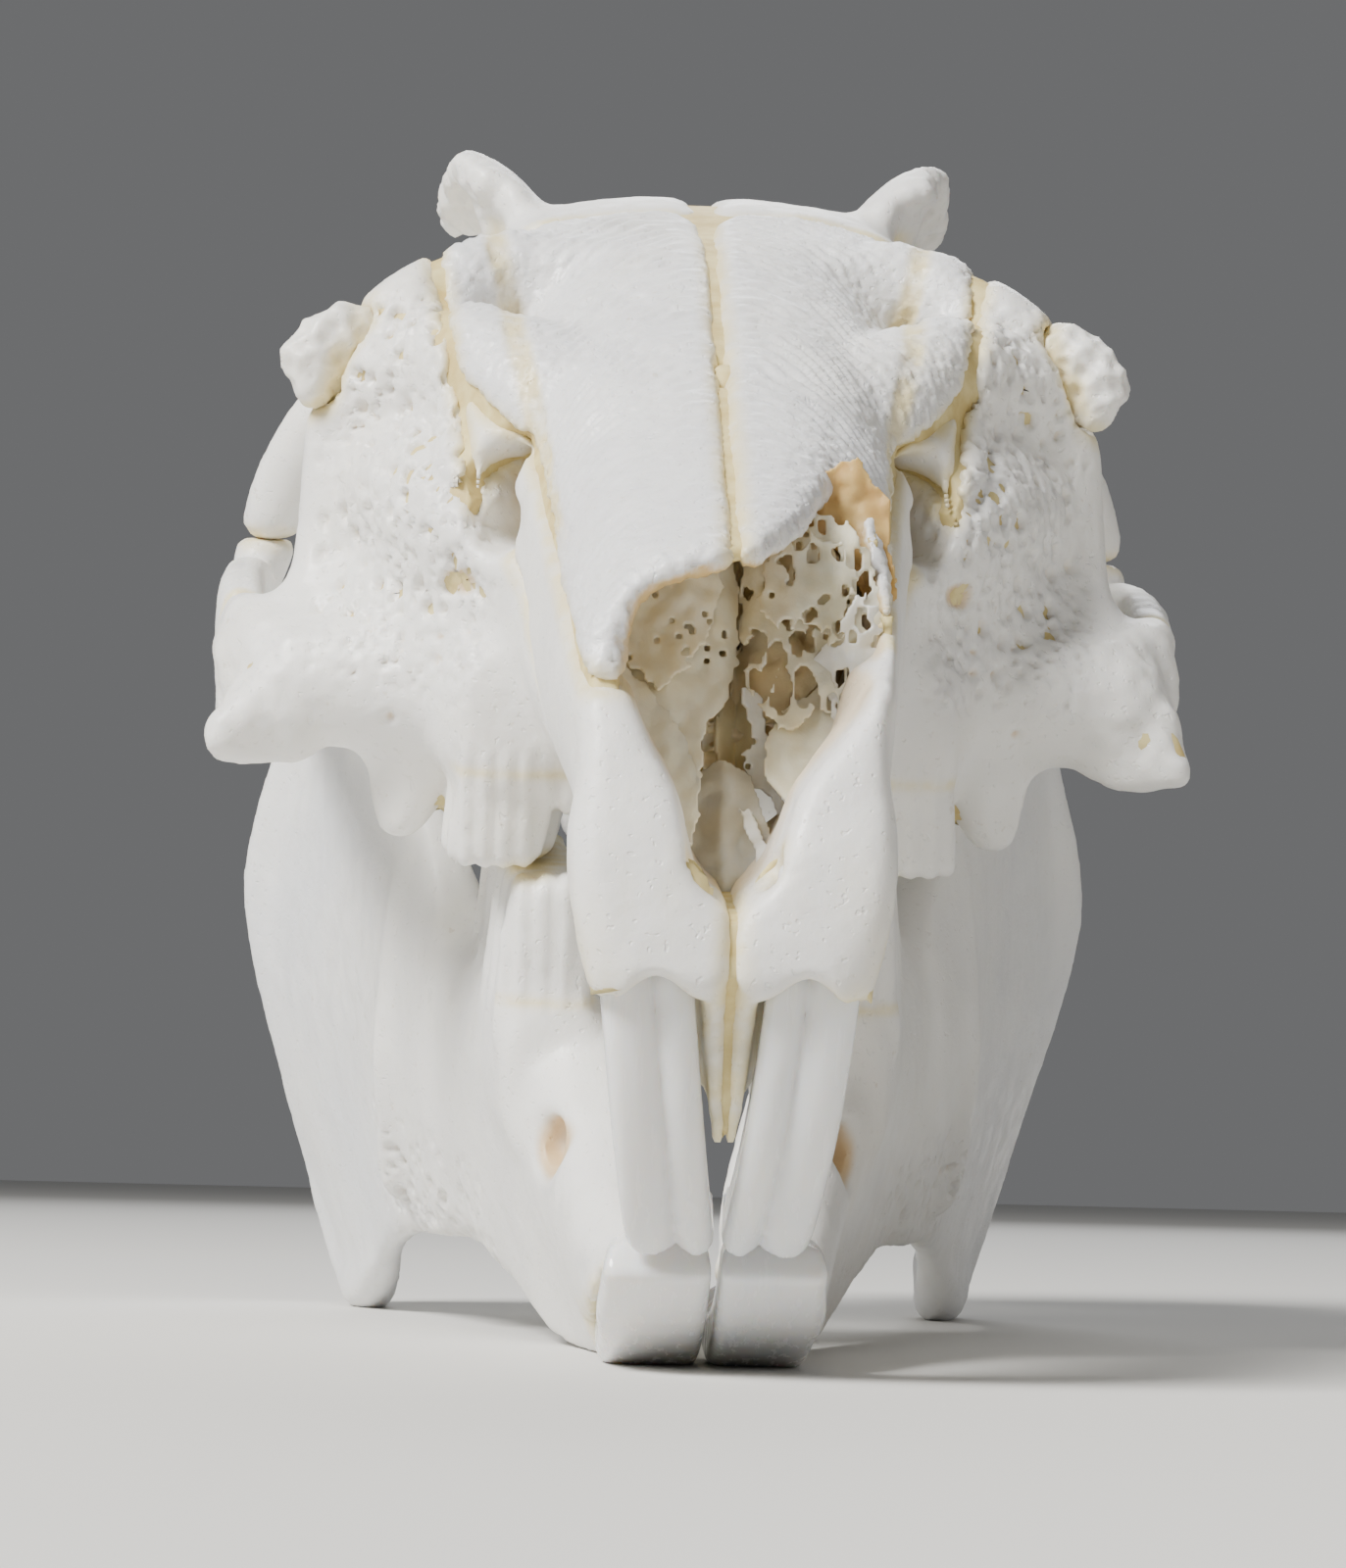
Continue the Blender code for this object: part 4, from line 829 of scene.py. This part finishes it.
def thin_sheet(name, outline, depth, material, ragged, seed, slits=(), pores=0.0, ribs=0.0):
    """A ragged sheet over an outline of x and z, at the y that depth gives for each place."""
    low = [min(corner[i] for corner in outline) - 0.3 for i in (0, 1)]
    high = [max(corner[i] for corner in outline) + 0.3 for i in (0, 1)]
    counts = [round((high[i] - low[i]) / SHEET_STEP) for i in (0, 1)]
    bpy.ops.mesh.primitive_grid_add(x_subdivisions=counts[0], y_subdivisions=counts[1], size=1.0)
    obj = bpy.context.object
    obj.name = name
    grid = points_of(obj)
    across = low[0] + (grid[:, 0] + 0.5) * (high[0] - low[0])
    up = low[1] + (grid[:, 1] + 0.5) * (high[1] - low[1])
    flat = np.stack([across, up * 0, up], 1)
    inside = (outline_distance(across, up, outline) + ragged * uneven(flat, 0.9, seed)
              + 0.5 * ragged * uneven(flat, 0.32, seed + 5))
    for (sx, sz), (rx, rz), lean in slits:
        dx, dz = across - sx - lean * (up - sz), up - sz
        beyond = np.hypot(dx / rx, dz / rz) - 1 + 0.3 * uneven(flat, 0.5, seed + 9)
        inside = np.minimum(inside, beyond * rx)
    if pores:
        cluster = ramp(uneven(flat, 1.6, seed + 13), -0.2, 0.2)
        holes = np.array([noise.voronoi(Vector(place) / 0.36)[0][0] for place in flat])
        inside = np.where((holes < pores) & (cluster > 0.5), -1, inside)
    if ribs:
        cells = [noise.voronoi(Vector((px / 0.5, seed, pz / 0.95)))[0] for px, _, pz in flat]
        rib = np.array([cell[1] - cell[0] for cell in cells])
        inside = np.where((rib > ribs) & (uneven(flat, 1.5, seed + 17) > -0.2), -1, inside)
    bumps = 0.18 * uneven(flat, 0.6, seed + 2) + 0.34 * uneven(flat, 1.8, seed + 4)
    sheet = np.stack([across, depth(across, up) + bumps, up], 1) * MM
    set_points(obj, sheet @ SKULL_AXES.T + np.array(SKULL_ORIGIN))
    select_only(obj)
    bpy.ops.object.mode_set(mode="EDIT")
    bpy.ops.mesh.select_mode(type="FACE")
    bpy.ops.mesh.select_all(action="DESELECT")
    bpy.ops.object.mode_set(mode="OBJECT")
    outside = inside < 0
    for polygon in obj.data.polygons:
        polygon.select = bool(outside[list(polygon.vertices)].any())
    bpy.ops.object.mode_set(mode="EDIT")
    bpy.ops.mesh.delete(type="FACE")
    bpy.ops.mesh.select_all(action="SELECT")
    bpy.ops.mesh.delete_loose()
    bpy.ops.object.mode_set(mode="OBJECT")
    shape(obj, "SMOOTH", factor=0.5, iterations=2)
    shape(obj, "SOLIDIFY", thickness=SHEET_WALL * MM, offset=0.0)
    shape(obj, "SUBSURF", levels=1, render_levels=1)
    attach(obj, "root")
    obj.data.materials.append(material)
    obj.data.shade_smooth()
    print(name, "faces:", len(obj.data.polygons))
    return obj


# %% [markdown]
# ## Scrolls behind the broken edge
#
# On the animal's right a pored sheet with a fold in front closes the view. On its left the
# sheet is torn into bars and slits, and a lobe and a comb stand before it, so that light and
# shadow fall between the layers. Such layers read as deep lace, which one thick body can't.

# %% Scrolls behind the broken edge
def lobe_depth(across, up):
    """The lobed sheet on the left side of the nose, which stands in front of the scrolls."""
    return 5.1 + 0.30 * (up - 16.4) + 0.225 * (across - 4.0) ** 2


thin_sheet("scroll_right_side",
           [(-4.6, 20.6), (-2.6, 22.0), (0.3, 22.8), (0.42, 17.4), (0.1, 16.2), (-0.6, 15.5),
            (-0.9, 13.4), (-1.3, 12.8), (-1.7, 14.2), (-2.3, 15.2), (-3.2, 15.8), (-4.4, 16.6), (-5.0, 19.0)],
           scroll_depth, tan_bone, ragged=0.3, pores=0.19, seed=1.0)
thin_sheet("scroll_left_side",
           [(0.45, 22.9), (2.5, 22.9), (4.2, 22.3), (5.0, 21.2), (5.6, 19.0), (5.2, 17.4), (4.6, 16.2),
            (3.6, 15.8), (3.0, 16.2), (2.4, 15.4), (1.7, 15.3), (1.1, 16.0), (0.45, 16.9)],
           scroll_depth, tan_bone, ragged=0.3, pores=0.19, ribs=0.34, seed=21.0,
           slits=[((1.0, 18.0), (0.24, 0.42), 0.3), ((1.25, 16.9), (0.26, 0.62), 0.25),
                  ((1.85, 16.6), (0.24, 0.72), 0.1), ((2.6, 16.9), (0.34, 0.55), -0.2),
                  ((2.5, 18.3), (0.3, 0.24), 0.0), ((1.6, 17.9), (0.2, 0.3), 0.4)])
thin_sheet("scroll_lobe",
           [(2.7, 17.6), (3.6, 18.6), (4.3, 20.2), (4.7, 20.3), (4.7, 19.6), (5.2, 19.6), (4.9, 19.1),
            (5.3, 18.8), (5.0, 18.3), (5.3, 17.9), (4.9, 17.4), (5.1, 16.9), (4.7, 16.6), (4.5, 15.8),
            (4.0, 15.3), (3.5, 15.8), (3.3, 16.6)],
           lobe_depth, pale_bone, ragged=0.16, pores=0.16, ribs=0.38, seed=41.0)
thin_sheet("scroll_comb",
           [(1.4, 22.3), (2.6, 22.2), (3.8, 21.6), (4.6, 20.4), (4.2, 18.9), (3.4, 18.2), (2.6, 18.9),
            (1.7, 18.3), (1.0, 19.3), (1.1, 21.0)],
           lambda across, up: scroll_depth(across, up) - 0.55, tan_bone, ragged=0.3, ribs=0.26, seed=51.0)
thin_sheet("scroll_fold",
           [(-3.9, 20.4), (-2.5, 21.2), (-1.0, 21.4), (-0.2, 20.6), (-0.5, 18.6), (-1.4, 17.2), (-2.4, 16.6),
            (-3.6, 17.4), (-4.2, 18.8)],
           lambda across, up: scroll_depth(across, up) - 0.45, tan_bone, ragged=0.3, pores=0.20, seed=55.0)

# %% [markdown]
# ## Septum and side walls
#
# A thin wall parts the nose down its middle, and the side walls narrow like a funnel towards
# its floor. They are sheets too, each tilted by its own depth. A scrap of amber tissue clings
# to the upper corner of the break.

# %% Septum and the walls that narrow towards the floor of the nose
# The septum lies deep, so it takes the darker tan of painted shade.
thin_sheet("septum_front", [(-0.4, 22.4), (1.2, 22.4), (1.2, 15.6), (0.9, 13.0), (-0.3, 13.0), (-0.4, 15.6)],
           lambda across, up: scroll_depth(across, up) + 2.0, deep_bone, ragged=0.05, seed=71.0)
thin_sheet("funnel_right",
           [(-4.0, 17.8), (-3.9, 15.6), (-2.9, 14.0), (-2.2, 12.8), (-1.8, 11.4), (-1.2, 11.8), (-0.8, 13.0),
            (-1.0, 14.4), (-1.9, 15.8), (-2.8, 16.8)],
           lambda across, up: 5.7 + 0.9 * (up - 16.6) - 0.6 * (abs(across) - 1.5), tan_bone, ragged=0.25,
           seed=75.0)
thin_sheet("funnel_left",
           [(4.6, 17.0), (4.4, 15.6), (3.4, 14.4), (2.4, 13.0), (2.0, 12.4), (1.5, 13.4), (1.2, 14.6),
            (1.8, 16.0), (3.0, 16.6)],
           lambda across, up: 6.4 + 0.9 * (up - 16.6) - 0.2 * (abs(across) - 1.5), tan_bone, ragged=0.25,
           seed=77.0)
thin_sheet("amber_corner",
           [(2.8, 21.8), (3.2, 24.0), (4.6, 24.6), (5.8, 23.0), (6.0, 19.6), (4.9, 19.4), (4.2, 21.0)],
           lambda across, up: 10.4 + 0.3 * (up - 22), amber_bone, ragged=0.2, seed=79.0)

# %% [markdown]
# ## Shreds, leaf and flake
#
# Below the scrolls a torn shred hangs, and the pointed leaf of the vomer rises from the floor
# of the nose with a flake on it. The leaf has a crease down its middle, made in its depth.

# %% Shreds, leaf and flake below the scrolls
thin_sheet("hanging_shred",
           [(0.45, 16.8), (1.3, 16.4), (1.45, 14.6), (2.4, 12.2), (1.9, 12.3), (1.2, 13.2), (0.6, 13.3),
            (0.5, 14.4), (0.8, 15.2)],
           lambda across, up: 5.4 + 0.25 * (up - 15) + 0.2 * across, pale_bone,
           ragged=0.22, pores=0.14, seed=61.0)
thin_sheet("vomer_leaf",
           [(-1.4, 13.6), (-0.2, 14.4), (0.9, 13.8), (1.4, 12.4), (1.7, 11.4), (1.6, 10.4), (1.1, 9.7),
            (0.4, 9.3), (-0.5, 9.3), (-1.3, 10.2), (-1.8, 11.4)],
           lambda across, up: 2.6 + 0.5 * (up - 9.5) - 0.35 * np.exp(-(across / 0.35) ** 2),
           grey_bone, ragged=0.05, seed=81.0)
thin_sheet("vomer_flake",
           [(0.2, 12.9), (0.9, 12.8), (1.1, 12.0), (1.6, 11.5), (1.5, 10.6), (0.95, 10.5), (0.85, 11.4),
            (0.6, 12.1)],
           lambda across, up: 2.0 + 0.5 * (up - 9.5), pale_bone, ragged=0.14, seed=91.0)

# %% [markdown]
# ## Vomer
#
# The vomer runs back along the floor of the nose. It is the CAD node made fine, with its front
# pushed back behind the leaf, so that the leaf's thin edge is what shows.

# %% Vomer
VOMER_FRONT = 5.6
vomer = copy_of("vomer", "fine_vomer")
push_along(vomer, BACK, np.maximum(VOMER_FRONT - in_skull(points_of(vomer))[:, 1], 0) * MM)
shape(vomer, "REMESH", mode="VOXEL", voxel_size=0.14 * MM)
shape(vomer, "SMOOTH", factor=0.5, iterations=4)
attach(vomer, "root")
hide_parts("vomer")
vomer.data.materials.append(grey_bone)
vomer.data.shade_smooth()
print("seconds so far:", round(time.time() - started))

# %% [markdown]
# ## Dried skin in the seams
#
# The bones of a young rabbit never quite close, and what joined them dries to a straw yellow
# skin just below the surface. The nasal, premaxillary, maxillary and frontal bones and the
# skull case together, grown until they touch, remeshed as one and shrunk back, give a body
# that shows only in the gaps.

# %% Seam skin
seam_skin_material, seam_shader = new_material("seam_skin", 0.6, 0.2)
g = Graph(seam_skin_material)
g.put(g.mix(g.ramp(g.noise(1.4, 4), 0.3, 0.7), (0.74, 0.62, 0.30, 1), (0.56, 0.42, 0.16, 1)),
      seam_shader.inputs["Base Color"])
g.put(g.bump(g.noise(0.4, 4), 0.5, 0.05), seam_shader.inputs["Normal"])

SKIN_GROWTH, SKIN_SHRINKAGE = 0.20, 0.42
skins = [copy_of(node, "seam_skin") for node in frame["nodes"]
         if node.split("_")[0] in ("nasal", "premaxilla", "maxilla", "frontal", "braincase", "occipital")]
for skin in skins:
    shape(skin, "DISPLACE", strength=SKIN_GROWTH * MM, mid_level=0.0)
bpy.ops.object.select_all(action="DESELECT")
for skin in skins:
    skin.select_set(True)
bpy.context.view_layer.objects.active = skins[0]
bpy.ops.object.join()
seam_skin = bpy.context.object
seam_skin.name = "seam_skin"
shape(seam_skin, "REMESH", mode="VOXEL", voxel_size=0.3 * MM)
shape(seam_skin, "SMOOTH", factor=0.5, iterations=2)
shape(seam_skin, "DISPLACE", strength=-SKIN_SHRINKAGE * MM, mid_level=0.0)
arch_rim(seam_skin)
skin_places = in_skull(points_of(seam_skin))
both_sides = np.stack([abs(skin_places[:, 0]), *skin_places[:, 1:].T], 1)
push_along(seam_skin, BACK, 0.7 * MM * near(both_sides, (1.6, -0.6, 10.4), (1.5, 3.0, 2.4)))
push_out(seam_skin, -0.7 * MM * near(skin_places, (0.2, 18.0, 28.0), (1.2, 2.0, 2.2)))
shape(seam_skin, "DECIMATE", ratio=0.55)
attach(seam_skin, "root")
seam_skin.data.materials.append(seam_skin_material)
seam_skin.data.shade_smooth()
print("seam skin faces:", len(seam_skin.data.polygons), "seconds so far:", round(time.time() - started))

# %% [markdown]
# ## Sizes
#
# The dressed skull is clipped to the CAD model's box, and both boxes are printed. The
# dressed skull has to stay inside the CAD model's box.

# %% Finish
low, high = (np.array(corner) for corner in cad_box)
for obj in bpy.context.scene.objects:
    if obj.type == "MESH" and obj is not floor and obj.name not in frame["nodes"]:
        set_points(obj, np.clip(points_of(obj), low, high))
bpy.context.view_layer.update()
print("boxes:", [list(corner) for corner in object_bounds()], "seconds:", round(time.time() - started))
